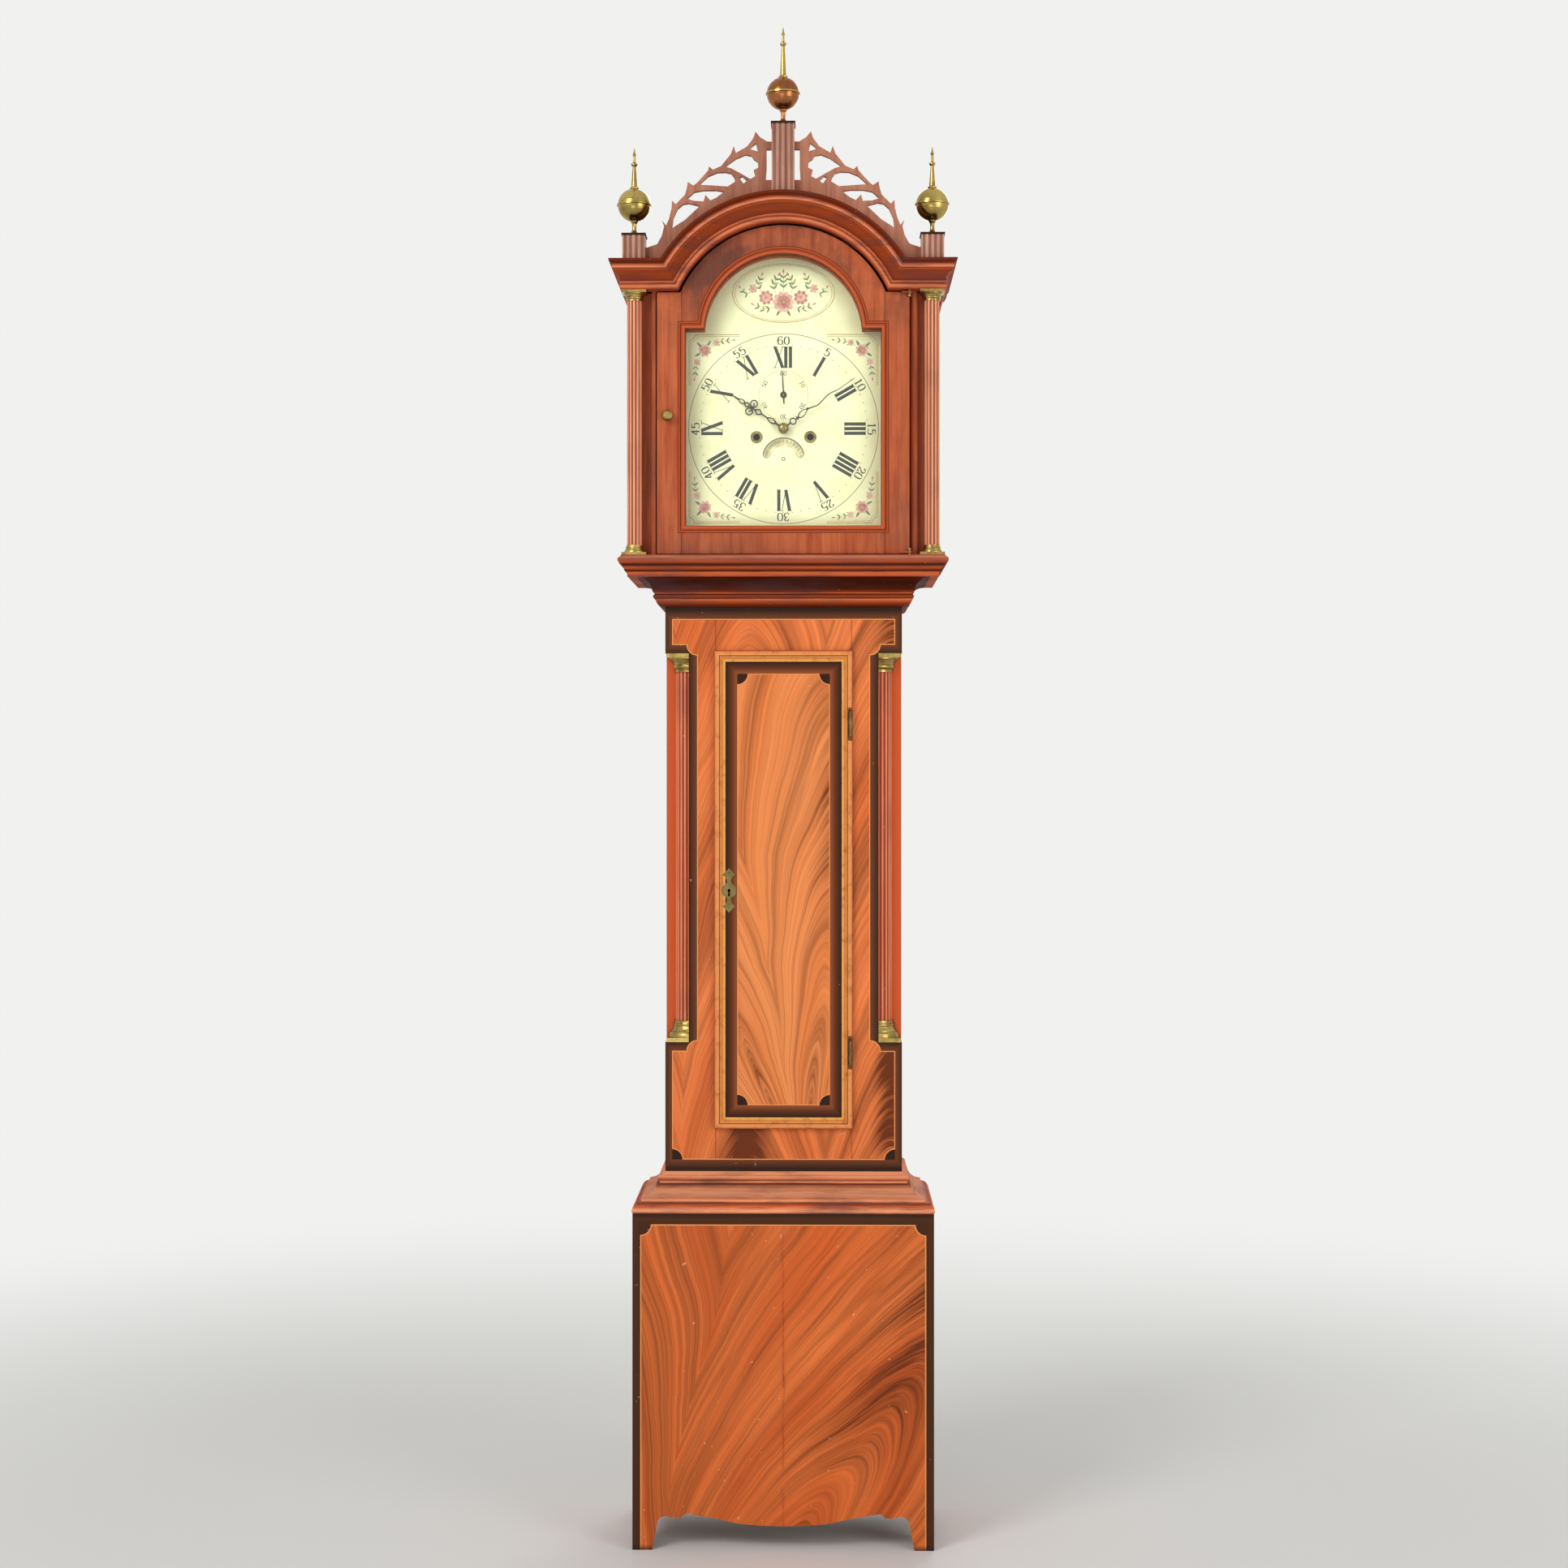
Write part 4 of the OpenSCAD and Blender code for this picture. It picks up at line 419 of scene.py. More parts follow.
# Mouldings: pine planed to profile and painted red, with painted shade dark brown in the hollows
# and painted highlights lighter on the noses. Base moulding, throat moulding, hood base and
# cornice.
def moulding_paint(name, low, high, tones, arch=None):
    """Paint whose colour changes with height, tones being heights in mm over the lower edge:
    painted highlights on the noses and painted shade in the hollows. An arched stretch has the
    height of its middle and the radius of its lower edge."""
    material, tree, shader = new_material(name)
    x, y, z = object_xyz(tree)
    spot = add(tree, "ShaderNodeTexCoord").outputs["Object"]
    long = add(tree, "ShaderNodeMapping", {"Vector": spot, "Scale": (9, 9, 160)})
    brushed = add(tree, "ShaderNodeTexNoise", {"Vector": long, "Scale": 1, "Detail": 4,
                                               "Roughness": 0.65})
    drift = add(tree, "ShaderNodeMath", [brushed, 0.0022, -0.0011], operation="MULTIPLY_ADD")
    if arch:
        far = from_point(tree, (x, z), (0, arch[0]))
        ring = add(tree, "ShaderNodeMath", [far, low - arch[1]], operation="ADD")
        z = add(tree, "ShaderNodeMath", [z, ring], operation="MINIMUM")
    level = add(tree, "ShaderNodeMath", [z, drift], operation="ADD")
    share = add(tree, "ShaderNodeMapRange", {"Value": level, "From Min": low, "From Max": high})
    # The height ramp paints the light and shade of the profile: painted highlights on the noses
    # and fillets, painted shade in the hollows.
    stops = [(at * mm / (high - low), tone) for at, tone in tones]
    colour = add(tree, "ShaderNodeValToRGB", [share], ramp=stops)
    patch = add(tree, "ShaderNodeMapping", {"Vector": spot, "Scale": (7, 7, 48)})
    soot = patches(tree, patch, scale=1, detail=5, roughness=0.62, none=0.48, full=0.68, most=0.6)
    streak = add(tree, "ShaderNodeMapRange", {"Value": brushed, "From Min": 0.5, "From Max": 0.8,
                                              "To Max": 0.5})
    for where, coat in ((soot, "#4C3436"), (streak, "#6B2712")):
        colour = add(tree, "ShaderNodeMix", {"Factor": where, "A": colour, "B": coat},
                     data_type="RGBA")
    colour = chips(tree, colour, "#E2946A", scale=120, least=0.72, seed=2.0)
    old_paint(tree, shader, colour, roughness=0.58, shine=0.04)
    return material


low, high = (v.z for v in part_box("base_moulding"))
dress(moulding_paint("painted_base_moulding", low, high, [
    (0, "#A64C2A"), (59, "#E8926A"), (4, "#FFA87C"), (12, "#D86A3C"), (15.5, "#8A381C"),
    (18, "#FCA87C"), (21, "#E48C60"), (24, "#DC9470"), (34, "#D0865E"), (41, "#763018"),
    (43.5, "#FCA87C"), (47, "#B45430"), (52, "#F09C70")]), "base_moulding")


# Waist: a front frame of stiles and rails, and two corner posts behind the recesses of the quarter
# columns. A light line and dark bands follow its edges and step round the recesses.
frame_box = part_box("waist_frame")
waist_front = frame_box[0].y
quarter_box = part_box("quarter_column_brasses")
recess_low, recess_high = quarter_box[0].z, quarter_box[1].z
recess_x = frame_box[1].x
string_x = waist_half - 10.5 * mm
string_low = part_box("base_moulding")[1].z + 18 * mm
string_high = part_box("throat_moulding")[0].z - 18.5 * mm
string_middle, string_rise = (string_low + string_high) / 2, (string_high - string_low) / 2
waist_string_w = 1.5 * mm
lip = 0.4 * mm
rail_joint_x = 106 * mm
margin = 13 * mm
zone_x = recess_x - margin
zone_low, zone_high = recess_low - margin, recess_high + margin
zone_middle, zone_rise = (zone_low + zone_high) / 2, (zone_high - zone_low) / 2

waist_paint, tree, shader = new_material("grained_paint_on_waist")
x, y, z = object_xyz(tree)
side = add(tree, "ShaderNodeMath", [x], operation="ABSOLUTE")
# On the posts' outer faces the pattern runs on round the corner, by the way back from the front.
outside = add(tree, "ShaderNodeMath", [side, waist_half - skin], operation="GREATER_THAN")
around = add(tree, "ShaderNodeMath", [waist_front + waist_half, y], operation="SUBTRACT")
side = add(tree, "ShaderNodeMix", {"Factor": outside, "A": side, "B": around})
turn = add(tree, "ShaderNodeMath", [x], operation="SIGN")
x = add(tree, "ShaderNodeMath", [side, turn], operation="MULTIPLY")
colour = glazed_grain(tree, x, z, arch=(-0.053, 0.0), half=(0.112, 0.0), depth=0.24,
                      paint=("#E47036", "#F88C4E"), glaze=glaze_brown, seed=5.3)
joint = from_line(tree, side, rail_joint_x)
joint = add(tree, "ShaderNodeMapRange", {"Value": joint, "From Min": 0.0012, "From Max": 0.0003,
                                         "To Max": 0.6})
# The light line is bitten off at the lower corners and bulges round the four recess corners.
outer = inset(tree, x, z, (0, string_middle), (string_x, string_rise), 0)
corner = from_point(tree, (side, z), (string_x, string_low))
corner = add(tree, "ShaderNodeMath", [corner, bite_r], operation="SUBTRACT")
edge = outer
outer = add(tree, "ShaderNodeMath", [outer, corner], operation="MINIMUM")
zone = inset(tree, side, z, (zone_x + endless, zone_middle), (endless, zone_rise), 0)
zone = add(tree, "ShaderNodeMath", [zone, -1.0], operation="MULTIPLY")
depth = add(tree, "ShaderNodeMath", [outer, zone], operation="MINIMUM")
edge = add(tree, "ShaderNodeMath", [edge, zone], operation="MINIMUM")
for level in (zone_low, zone_high):
    far = from_point(tree, (side, z), (zone_x, level))
    ear = add(tree, "ShaderNodeMath", [bite_r, far], operation="SUBTRACT")
    depth = add(tree, "ShaderNodeMath", [depth, ear], operation="MAXIMUM")
line, band, dark = line_and_band(tree, depth, edge, waist_string_w, margin, 1 * mm, [
    (0.0, "#2E190D"), (1.0, "#2E190D"), (0.88, "#6C3A20")])
# Inside the recesses the paint is plain orange.
behind = add(tree, "ShaderNodeMath", [y, waist_front + lip], operation="GREATER_THAN")
flat = add(tree, "ShaderNodeMath", [z, recess_high], operation="LESS_THAN")
above = add(tree, "ShaderNodeMath", [z, recess_low], operation="GREATER_THAN")
flat = add(tree, "ShaderNodeMath", [flat, above], operation="MULTIPLY")
behind = add(tree, "ShaderNodeMath", [behind, outside], operation="SUBTRACT", use_clamp=True)
inner = add(tree, "ShaderNodeMath", [side, recess_x - lip], operation="GREATER_THAN")
flat = add(tree, "ShaderNodeMath", [flat, inner], operation="MULTIPLY")
flat = add(tree, "ShaderNodeMath", [flat, behind], operation="MULTIPLY")
for where, coat in ((joint, "#6E2E1A"), (line, string_orange), (band, dark), (flat, "#D05C2C")):
    colour = add(tree, "ShaderNodeMix", {"Factor": where, "A": colour, "B": coat},
                 data_type="RGBA")
colour = chips(tree, colour, "#EDB98E", scale=100, least=0.72, seed=1.0)
inside = add(tree, "ShaderNodeMath", [y, frame_box[1].y - skin], operation="GREATER_THAN")
within = add(tree, "ShaderNodeMath", [side, recess_x - skin], operation="LESS_THAN")
inside = add(tree, "ShaderNodeMath", [inside, within], operation="MULTIPLY")
inside = add(tree, "ShaderNodeMath", [inside, outside], operation="SUBTRACT", use_clamp=True)
old_paint(tree, shader, unpainted(tree, colour, inside))
dress(waist_paint, "waist_frame", "corner_posts")

# Throat moulding: a broad hollow of pine, planed and mitred, that carries the hood on its upper
# edge. Painted shade makes it dark in its hollow and under the hood, with sooty patches, and
# painted highlights leave it red only on its noses.
low, high = (v.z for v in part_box("throat_moulding"))
dress(moulding_paint("painted_throat_moulding", low, high, [
    (0, "#5A200C"), (44, "#4A1806"), (5, "#8A3818"), (9, "#B8542C"), (11, "#DA7C4E"),
    (13, "#6A2810"), (16, "#A04420"), (19, "#5E220E"), (21, "#D06A3E"), (23, "#8A3414"),
    (26, "#4A1A08"), (36, "#3E1406")]), "throat_moulding")


# Quarter columns: pine, turned, cut with flutes and split in four, and stuck in the recesses of
# the waist. Painted pink-red, with painted shade dark in the flutes.
def fluted_paint(name, axes, radius, groove, tones):
    """Paint with painted shade dark in the flutes, by the distance from the nearest column axis.
    """
    material, tree, shader = new_material(name)
    x, y, z = object_xyz(tree)
    side = add(tree, "ShaderNodeMath", [x], operation="ABSOLUTE")
    far = from_point(tree, (side, y), axes)
    spot = add(tree, "ShaderNodeTexCoord").outputs["Object"]
    long = add(tree, "ShaderNodeMapping", {"Vector": spot, "Scale": (260, 260, 7)})
    worn = add(tree, "ShaderNodeTexNoise", {"Vector": long, "Scale": 1, "Detail": 4,
                                            "Roughness": 0.6})
    crown = add(tree, "ShaderNodeValToRGB", [worn], ramp=[(0.32, tones[0]), (0.7, tones[1])])
    # Painted shade: the colour darkens towards the bottom of each flute.
    hollow = add(tree, "ShaderNodeMapRange", {"Value": far, "From Min": radius - 0.15 * mm,
                                              "From Max": radius - groove, "To Max": 0.85})
    colour = add(tree, "ShaderNodeMix", {"Factor": hollow, "A": crown, "B": tones[2]},
                 data_type="RGBA")
    soot = patches(tree, spot, scale=9, detail=4, roughness=0.5, none=0.52, full=0.78, most=0.4)
    colour = add(tree, "ShaderNodeMix", {"Factor": soot, "A": colour, "B": "#5E3A3C"},
                 data_type="RGBA")
    colour = chips(tree, colour, "#E8AE90", scale=130, least=0.7, seed=4.0)
    old_paint(tree, shader, colour, roughness=0.4)
    return material


quarter_axes = (recess_x, waist_front + 36.5 * mm)
quarter_r = 21.8 * mm
flute = 1.2 * mm
dress(fluted_paint("painted_quarter_columns", axes=quarter_axes, radius=quarter_r, groove=flute,
                   tones=("#EA744A", "#FCA27A", "#7E3822")), "quarter_columns")


# Brasses: the capitals and bases of the columns, cast and turned, the hinges and pins, the knob
# and the rings of the winding holes, cast and filed. Unpolished for long, so dull and spotted.
def cast_metal(name, tones, roughness, spots, dull, scale=60, dents=0.12):
    """Old cast and turned metal: clouded between two tones, with dull specks."""
    material, tree, shader = new_material(name)
    spot = add(tree, "ShaderNodeTexCoord").outputs["Object"]
    cloud = add(tree, "ShaderNodeTexNoise", {"Vector": spot, "Scale": scale, "Detail": 5,
                                             "Roughness": 0.6})
    colour = add(tree, "ShaderNodeValToRGB", [cloud], ramp=[(0.32, tones[0]), (0.68, tones[1])])
    speck = patches(tree, spot, scale=420, detail=3, roughness=0.5, none=0.6, full=0.72,
                    most=spots)
    colour = add(tree, "ShaderNodeMix", {"Factor": speck, "A": colour, "B": dull},
                 data_type="RGBA")
    feed(tree, shader, {"Base Color": colour, "Metallic": 1.0})
    gloss = add(tree, "ShaderNodeMapRange", {"Value": cloud, "From Min": 0.3, "From Max": 0.7,
                                             "To Min": roughness - 0.08,
                                             "To Max": roughness + 0.12})
    feed(tree, shader, {"Roughness": gloss})
    bump = add(tree, "ShaderNodeBump", {"Height": cloud, "Strength": dents, "Distance": 0.0008})
    feed(tree, shader, {"Normal": bump})
    return material


brass = cast_metal("tarnished_brass", ("#7E6A3A", "#BCA25E"), roughness=0.26, spots=0.45,
                   dull="#54462A")
dress(brass, "quarter_column_brasses", "hood_column_brasses", "hood_hinge_pins",
      "hood_door_knob", "winding_grommets")
dress(cast_metal("dark_handled_brass", ("#3A2E20", "#80694A"), roughness=0.34, spots=0.5,
                 dull="#2A2018"), "hinge_case_leaves", "hinge_door_leaves")

# Waist door: one pine board on two hinges, painted and combed, with a string line and a dark band
# inside its moulding. Its back is bare.
door_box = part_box("waist_door")
door_middle = (door_box[0].z + door_box[1].z) / 2
door_string = ((0, door_middle), (72.3 * mm, (door_box[1].z - door_box[0].z) / 2 - 31 * mm))
door_string_w, door_band_w = 1.3 * mm, 18 * mm
door_paint, tree, shader = new_material("grained_paint_on_waist_door")
x, y, z = object_xyz(tree)
colour = glazed_grain(tree, x, z, arch=(-0.023, 0.1), half=(-0.165, 0.286), depth=0.5,
                      paint=("#E67E40", "#F89858"), glaze=glaze_brown, seed=1.7, strength=0.85)
line, band, dark = line_and_band(
    tree, inset(tree, x, z, *door_string, bite_r), inset(tree, x, z, *door_string, 0),
    door_string_w, door_band_w, 1 * mm,
    [(0.0, "#26120A"), (1.0, "#2E170C"), (0.5, "#5E2E16"), (0.9, "#8E4A26")])
for where, coat in ((line, string_orange), (band, dark)):
    colour = add(tree, "ShaderNodeMix", {"Factor": where, "A": colour, "B": coat},
                 data_type="RGBA")
colour = chips(tree, colour, "#EDB98E", scale=100, least=0.73, seed=3.0)
inside = add(tree, "ShaderNodeMath", [y, door_box[1].y - skin], operation="GREATER_THAN")
old_paint(tree, shader, unpainted(tree, colour, inside))
dress(door_paint, "waist_door")

# Door moulding: pine planed to a bead and a hollow, mitred and nailed round the door, where it
# laps over the frame. Its ochre paint is brown at its outer edge and rubbed through to brown in
# patches, and a ramp across it paints the profile's light and shade.
low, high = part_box("waist_door_moulding")
door_moulding_w = 17.4 * mm
moulding_ochre, tree, shader = new_material("grained_ochre_door_moulding")
x, y, z = object_xyz(tree)
depth = inset(tree, x, z, (0, door_middle), (high.x, (high.z - low.z) / 2), 0)
# The ramp across the moulding paints its light and shade: a painted shade line in the middle and
# painted highlights on the rounds.
share = add(tree, "ShaderNodeMapRange", {"Value": depth, "From Min": 0.0,
                                         "From Max": door_moulding_w})
colour = add(tree, "ShaderNodeValToRGB", [share], ramp=[(0.0, "#964020"), (1.0, "#E2A24C"),
                                                        (0.1, "#E08448"), (0.4, "#EC9656"),
                                                        (0.48, "#5E2C14"), (0.54, "#EC9C54"),
                                                        (0.75, "#D2803E"), (0.9, "#F0AE5A")])
spot = add(tree, "ShaderNodeTexCoord").outputs["Object"]
worn = patches(tree, spot, scale=70, detail=4, roughness=0.65, none=0.5, full=0.75, most=0.6)
colour = add(tree, "ShaderNodeMix", {"Factor": worn, "A": colour, "B": "#8C4422"},
             data_type="RGBA")
old_paint(tree, shader, colour, roughness=0.4)
dress(moulding_ochre, "waist_door_moulding")

# Escutcheon: sawn from sheet brass and filed, dull with age. A round-headed brass pin holds it at
# each end.
sheet_brass = cast_metal("dull_sheet_brass", ("#5C5030", "#8C7A4C"), roughness=0.42, spots=0.5,
                         dull="#3E341E")
dress(sheet_brass, "escutcheon")
low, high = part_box("escutcheon")
pin_r = 1.5 * mm
pin_out = 27 * mm
form = bmesh.new()
for side in (-1, 1):
    place = Matrix.Translation(((low.x + high.x) / 2, low.y,
                                (low.z + high.z) / 2 + side * pin_out))
    bmesh.ops.create_uvsphere(form, u_segments=12, v_segments=8, radius=pin_r,
                              matrix=place @ Matrix.Diagonal((1, 0.5, 1, 1)))
pins = new_piece("escutcheon_pins", form, sheet_brass)
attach(pins, "waist_door")

# Iron and steel: the case of the lock on the door's back and the two weights are dark iron. The
# lock's bolt, and the anchor, arbor and hammer of the movement, are steel, filed and greyed.
iron = cast_metal("wrought_iron", ("#2A2725", "#4A4542"), roughness=0.45, spots=0.5,
                  dull="#5A3A26")
dress(iron, "door_lock", "time_weight", "strike_weight")
steel = cast_metal("old_steel", ("#6E6C68", "#A8A6A0"), roughness=0.32, spots=0.4, dull="#5A4A3C",
                   scale=90)
dress(steel, "lock_bolt", "anchor", "centre_arbor", "hammer")

# Hood mouldings: the base that slides on the throat moulding, and the cornice, which runs up over
# the arch. Planed from pine, mitred, and painted red, with painted shade dark in the hollows and
# painted highlights on the fillets.
low, high = (v.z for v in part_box("hood_base"))
dress(moulding_paint("painted_hood_base", low, high, [
    (0, "#B4542E"), (32.5, "#A8523A"), (6, "#D0683E"), (7.6, "#3A1206"), (10, "#8A3414"),
    (13, "#B85A34"), (16.5, "#4A1A08"), (18.5, "#7A2E14"), (21, "#A84E30"),
    (25, "#A0503A"), (29.5, "#D08868"), (31, "#A8523A")]), "hood_base")
cornice_low, cornice_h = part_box("hood_frieze")[0].z, 44.5 * mm
cornice_arch = (1868.8 * mm, 176.2 * mm)
dress(moulding_paint("painted_cornice", cornice_low, cornice_low + cornice_h, [
    (0, "#A8441F"), (44.5, "#6A2A12"), (4.5, "#D8805A"), (8.5, "#98381A"), (10.2, "#DA8058"),
    (12.5, "#742A0E"), (20, "#8E3A1A"), (30, "#A24824"), (32, "#DE8A68"), (35.5, "#A84A26"),
    (37.5, "#5E220E"), (42, "#6E2A10")], cornice_arch), "hood_cornice")


# Hood frame: the front mask of pine that the door closes on. Its thin dull red is brushed up and
# down and has gone sooty in patches, as on the rest of the hood.
def hood_paint(name, tones, sooty, seed):
    """Thin dull red-brown paint with sooty patches and vertical brush marks."""
    material, tree, shader = new_material(name)
    spot = add(tree, "ShaderNodeTexCoord").outputs["Object"]
    shift = add(tree, "ShaderNodeVectorMath", [spot, (seed, 0, seed)], operation="ADD")
    long = add(tree, "ShaderNodeMapping", {"Vector": shift, "Scale": (110, 110, 9)})
    brushed = add(tree, "ShaderNodeTexNoise", {"Vector": long, "Scale": 1, "Detail": 5,
                                               "Roughness": 0.62})
    colour = add(tree, "ShaderNodeValToRGB", [brushed], ramp=[(0.3, tones[0]), (0.72, tones[1])])
    soot = patches(tree, shift, scale=7, detail=5, roughness=0.6, none=0.46, full=0.72, most=sooty)
    fleck = patches(tree, shift, scale=260, detail=3, roughness=0.5, none=0.62, full=0.74,
                    most=0.35)
    for where, coat in ((soot, "#63443C"), (fleck, "#BC6A4E")):
        colour = add(tree, "ShaderNodeMix", {"Factor": where, "A": colour, "B": coat},
                     data_type="RGBA")
    old_paint(tree, shader, colour, roughness=0.52)
    return material


hood_red = hood_paint("dull_red_hood_paint", ("#9E4828", "#C4683E"), sooty=0.5, seed=0.0)
dress(hood_red, "hood_frame")

# Hood door: four pieces of pine tenoned together, hung on two pins and planed with a moulding
# round the glass. Dull red, sooty over the arch, with a dark line at each tenoned joint.
sight_half, sight_low, sight_high = 151.3 * mm, 1579 * mm, 1883 * mm
sight_middle, sight_rise = (sight_low + sight_high) / 2, (sight_high - sight_low) / 2
sight_arch_z, sight_arch_r = 1876.5 * mm, 122 * mm
sight_bead_w = 12.5 * mm
stile_joint_x, rail_joint_out = 156.5 * mm, 9 * mm
soot_low, soot_high = 1840 * mm, 1950 * mm


def sight_opening(tree, x, z):
    """How far a point lies inside the square part of the door's opening and inside its arch."""
    square = inset(tree, x, z, (0, sight_middle), (sight_half, sight_rise), 0)
    far = from_point(tree, (x, z), (0, sight_arch_z))
    return square, add(tree, "ShaderNodeMath", [sight_arch_r, far], operation="SUBTRACT")


def next_coat(material):
    """The tree, the shader and the colour so far of a finished material, to paint over."""
    tree = material.node_tree
    shader = next(n for n in tree.nodes if n.type == "BSDF_PRINCIPLED")
    return tree, shader, shader.inputs["Base Color"].links[0].from_socket


door_red = hood_paint("dull_red_hood_door", ("#9E4828", "#C66A42"), sooty=0.55, seed=21.0)
tree, shader, colour = next_coat(door_red)
x, y, z = object_xyz(tree)
spot = add(tree, "ShaderNodeTexCoord").outputs["Object"]
smoke = patches(tree, spot, scale=13, detail=4, roughness=0.6, none=0.38, full=0.62, most=0.78)
above = add(tree, "ShaderNodeMapRange", {"Value": z, "From Min": soot_low, "From Max": soot_high})
smoke = add(tree, "ShaderNodeMath", [smoke, above], operation="MULTIPLY")
opening, arch = sight_opening(tree, x, z)
opening = add(tree, "ShaderNodeMath", [opening, arch], operation="MAXIMUM")
# Across the moulding round the opening a ramp paints its light and shade: painted highlights on
# its rounds and painted shadow lines in its groove and at the opening's edge.
share = add(tree, "ShaderNodeMapRange", {"Value": opening, "From Min": -sight_bead_w,
                                         "From Max": 0.0})
edge = add(tree, "ShaderNodeValToRGB", [share], ramp=[(0.0, "#A04A2A"), (1.0, "#7A2E14"),
                                                      (0.12, "#6E2A16"), (0.3, "#B4542E"),
                                                      (0.6, "#A84620"), (0.85, "#C2603A")])
sight_moulding_light_and_shade = add(tree, "ShaderNodeMath", [opening, 1 * mm - sight_bead_w], operation="GREATER_THAN")
side = add(tree, "ShaderNodeMath", [x], operation="ABSOLUTE")
joint = from_line(tree, side, stile_joint_x)
joint = add(tree, "ShaderNodeMapRange", {"Value": joint, "From Min": 0.0011, "From Max": 0.0003,
                                         "To Max": 0.7})
level = from_line(tree, z, sight_middle)
level = add(tree, "ShaderNodeMath", [level, sight_rise + rail_joint_out], operation="GREATER_THAN")
joint = add(tree, "ShaderNodeMath", [joint, level], operation="MULTIPLY")
for where, coat in ((smoke, "#523630"), (sight_moulding_light_and_shade, edge), (joint, "#4A2018")):
    colour = add(tree, "ShaderNodeMix", {"Factor": where, "A": colour, "B": coat},
                 data_type="RGBA")
feed(tree, shader, {"Base Color": colour})
dress(door_red, "hood_door", "hood_door_straps")

# Hood sides and frieze: pine boards under the cornice, nailed to the frame. Their red is plainer
# than the door's, and inside they are bare.
side_red = hood_paint("red_hood_side_paint", ("#94401F", "#B65A34"), sooty=0.35, seed=3.0)
tree, shader, colour = next_coat(side_red)
x, y, z = object_xyz(tree)
side = add(tree, "ShaderNodeMath", [x], operation="ABSOLUTE")
inside = add(tree, "ShaderNodeMath", [side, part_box("hood_sides")[1].x - board_t + skin],
             operation="LESS_THAN")
behind = add(tree, "ShaderNodeMath", [y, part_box("hood_frame")[1].y + skin],
             operation="GREATER_THAN")
inside = add(tree, "ShaderNodeMath", [inside, behind], operation="MULTIPLY")
colour = unpainted(tree, colour, inside)
feed(tree, shader, {"Base Color": colour})
dress(side_red, "hood_sides", "hood_frieze")

# Hood roof: thin wood bent over the arch and nailed down on the sides. Nobody sees it, so its
# paint is one plain dark brown, dull with dust.
dress(hood_paint("dark_roof_paint", ("#3E2A20", "#5E4634"), sooty=0.3, seed=6.0), "hood_roof")

# Hood columns: turned and fluted pine between brasses, free of the hood's corners. Pink-red, with
# painted shade dark in the flutes.
column_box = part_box("hood_columns")
column_r = 11.4 * mm
dress(fluted_paint("painted_hood_columns", axes=(column_box[1].x - column_r,
                                                 (column_box[0].y + column_box[1].y) / 2),
                   radius=column_r, groove=flute, tones=("#DC8660", "#FAB48C", "#783C2E")),
      "hood_columns")

# Plinths: pine blocks that carry the finials, fluted in front, with a thin dark cap. Their red has
# faded to pink.
plinth_low, plinth_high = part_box("plinths")
plinth_half, fluted_half, cap_t = 18.9 * mm, 17.2 * mm, 3.1 * mm
clear_of_middle = 100 * mm
flute_front, flute_back = plinth_low.y + 1.9 * mm, plinth_low.y + 8 * mm
centre_top, side_top = plinth_high.z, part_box("side_finials")[0].z
plinth_paint = hood_paint("painted_plinths", ("#A87460", "#DAA48C"), sooty=0.4, seed=9.0)
tree, shader, colour = next_coat(plinth_paint)
x, y, z = object_xyz(tree)
side = add(tree, "ShaderNodeMath", [x], operation="ABSOLUTE")
outer = add(tree, "ShaderNodeMath", [side, clear_of_middle], operation="GREATER_THAN")
top = add(tree, "ShaderNodeMath", [outer, side_top - centre_top, centre_top - cap_t],
          operation="MULTIPLY_ADD")
cap = add(tree, "ShaderNodeMath", [z, top], operation="GREATER_THAN")
# Painted shade darkens the flutes cut in the front face.
deep = add(tree, "ShaderNodeMath", [y, flute_front], operation="GREATER_THAN")
front = add(tree, "ShaderNodeMath", [y, flute_back], operation="LESS_THAN")
deep = add(tree, "ShaderNodeMath", [deep, front], operation="MULTIPLY")
axis = add(tree, "ShaderNodeMath", [outer, plinth_half - plinth_high.x, side],
           operation="MULTIPLY_ADD")
axis = add(tree, "ShaderNodeMath", [axis], operation="ABSOLUTE")
face = add(tree, "ShaderNodeMath", [axis, fluted_half], operation="LESS_THAN")
deep = add(tree, "ShaderNodeMath", [deep, face], operation="MULTIPLY")
inner = add(tree, "ShaderNodeMath", [deep, 0.55], operation="MULTIPLY")
for where, coat in ((cap, "#2E1A14"), (inner, "#5A3430")):
    colour = add(tree, "ShaderNodeMix", {"Factor": where, "A": colour, "B": coat},
                 data_type="RGBA")
feed(tree, shader, {"Base Color": colour})
dress(plinth_paint, "plinths")

# Frets: thin boards pierced with a fretsaw, standing on the arch between the plinths. Their red
# has faded like the plinths'.
dress(hood_paint("painted_frets", ("#A0604A", "#C2866A"), sooty=0.35, seed=12.0), "frets")

# Finials: brass sheet raised into two half balls and soldered, with turned feet and spikes. The
# middle ball keeps a copper red varnish between its seam and its spike.
dress(cast_metal("brass_ball", ("#86703C", "#C2A860"), roughness=0.24, spots=0.35, dull="#54462A",
                 scale=26, dents=0.05), "side_finials")
copper = cast_metal("red_varnished_brass_ball", ("#7E4826", "#B4764A"), roughness=0.24, spots=0.3,
                    dull="#5E3420", scale=26, dents=0.05)
tree, shader, colour = next_coat(copper)
x, y, z = object_xyz(tree)
seam_z, seam_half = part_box("centre_finial")[0].z + 46 * mm, 1.3 * mm
spike_z = seam_z + 24.8 * mm
spike = add(tree, "ShaderNodeMath", [z, spike_z], operation="GREATER_THAN")
seam = add(tree, "ShaderNodeMath", [z, seam_z, seam_half], operation="COMPARE")
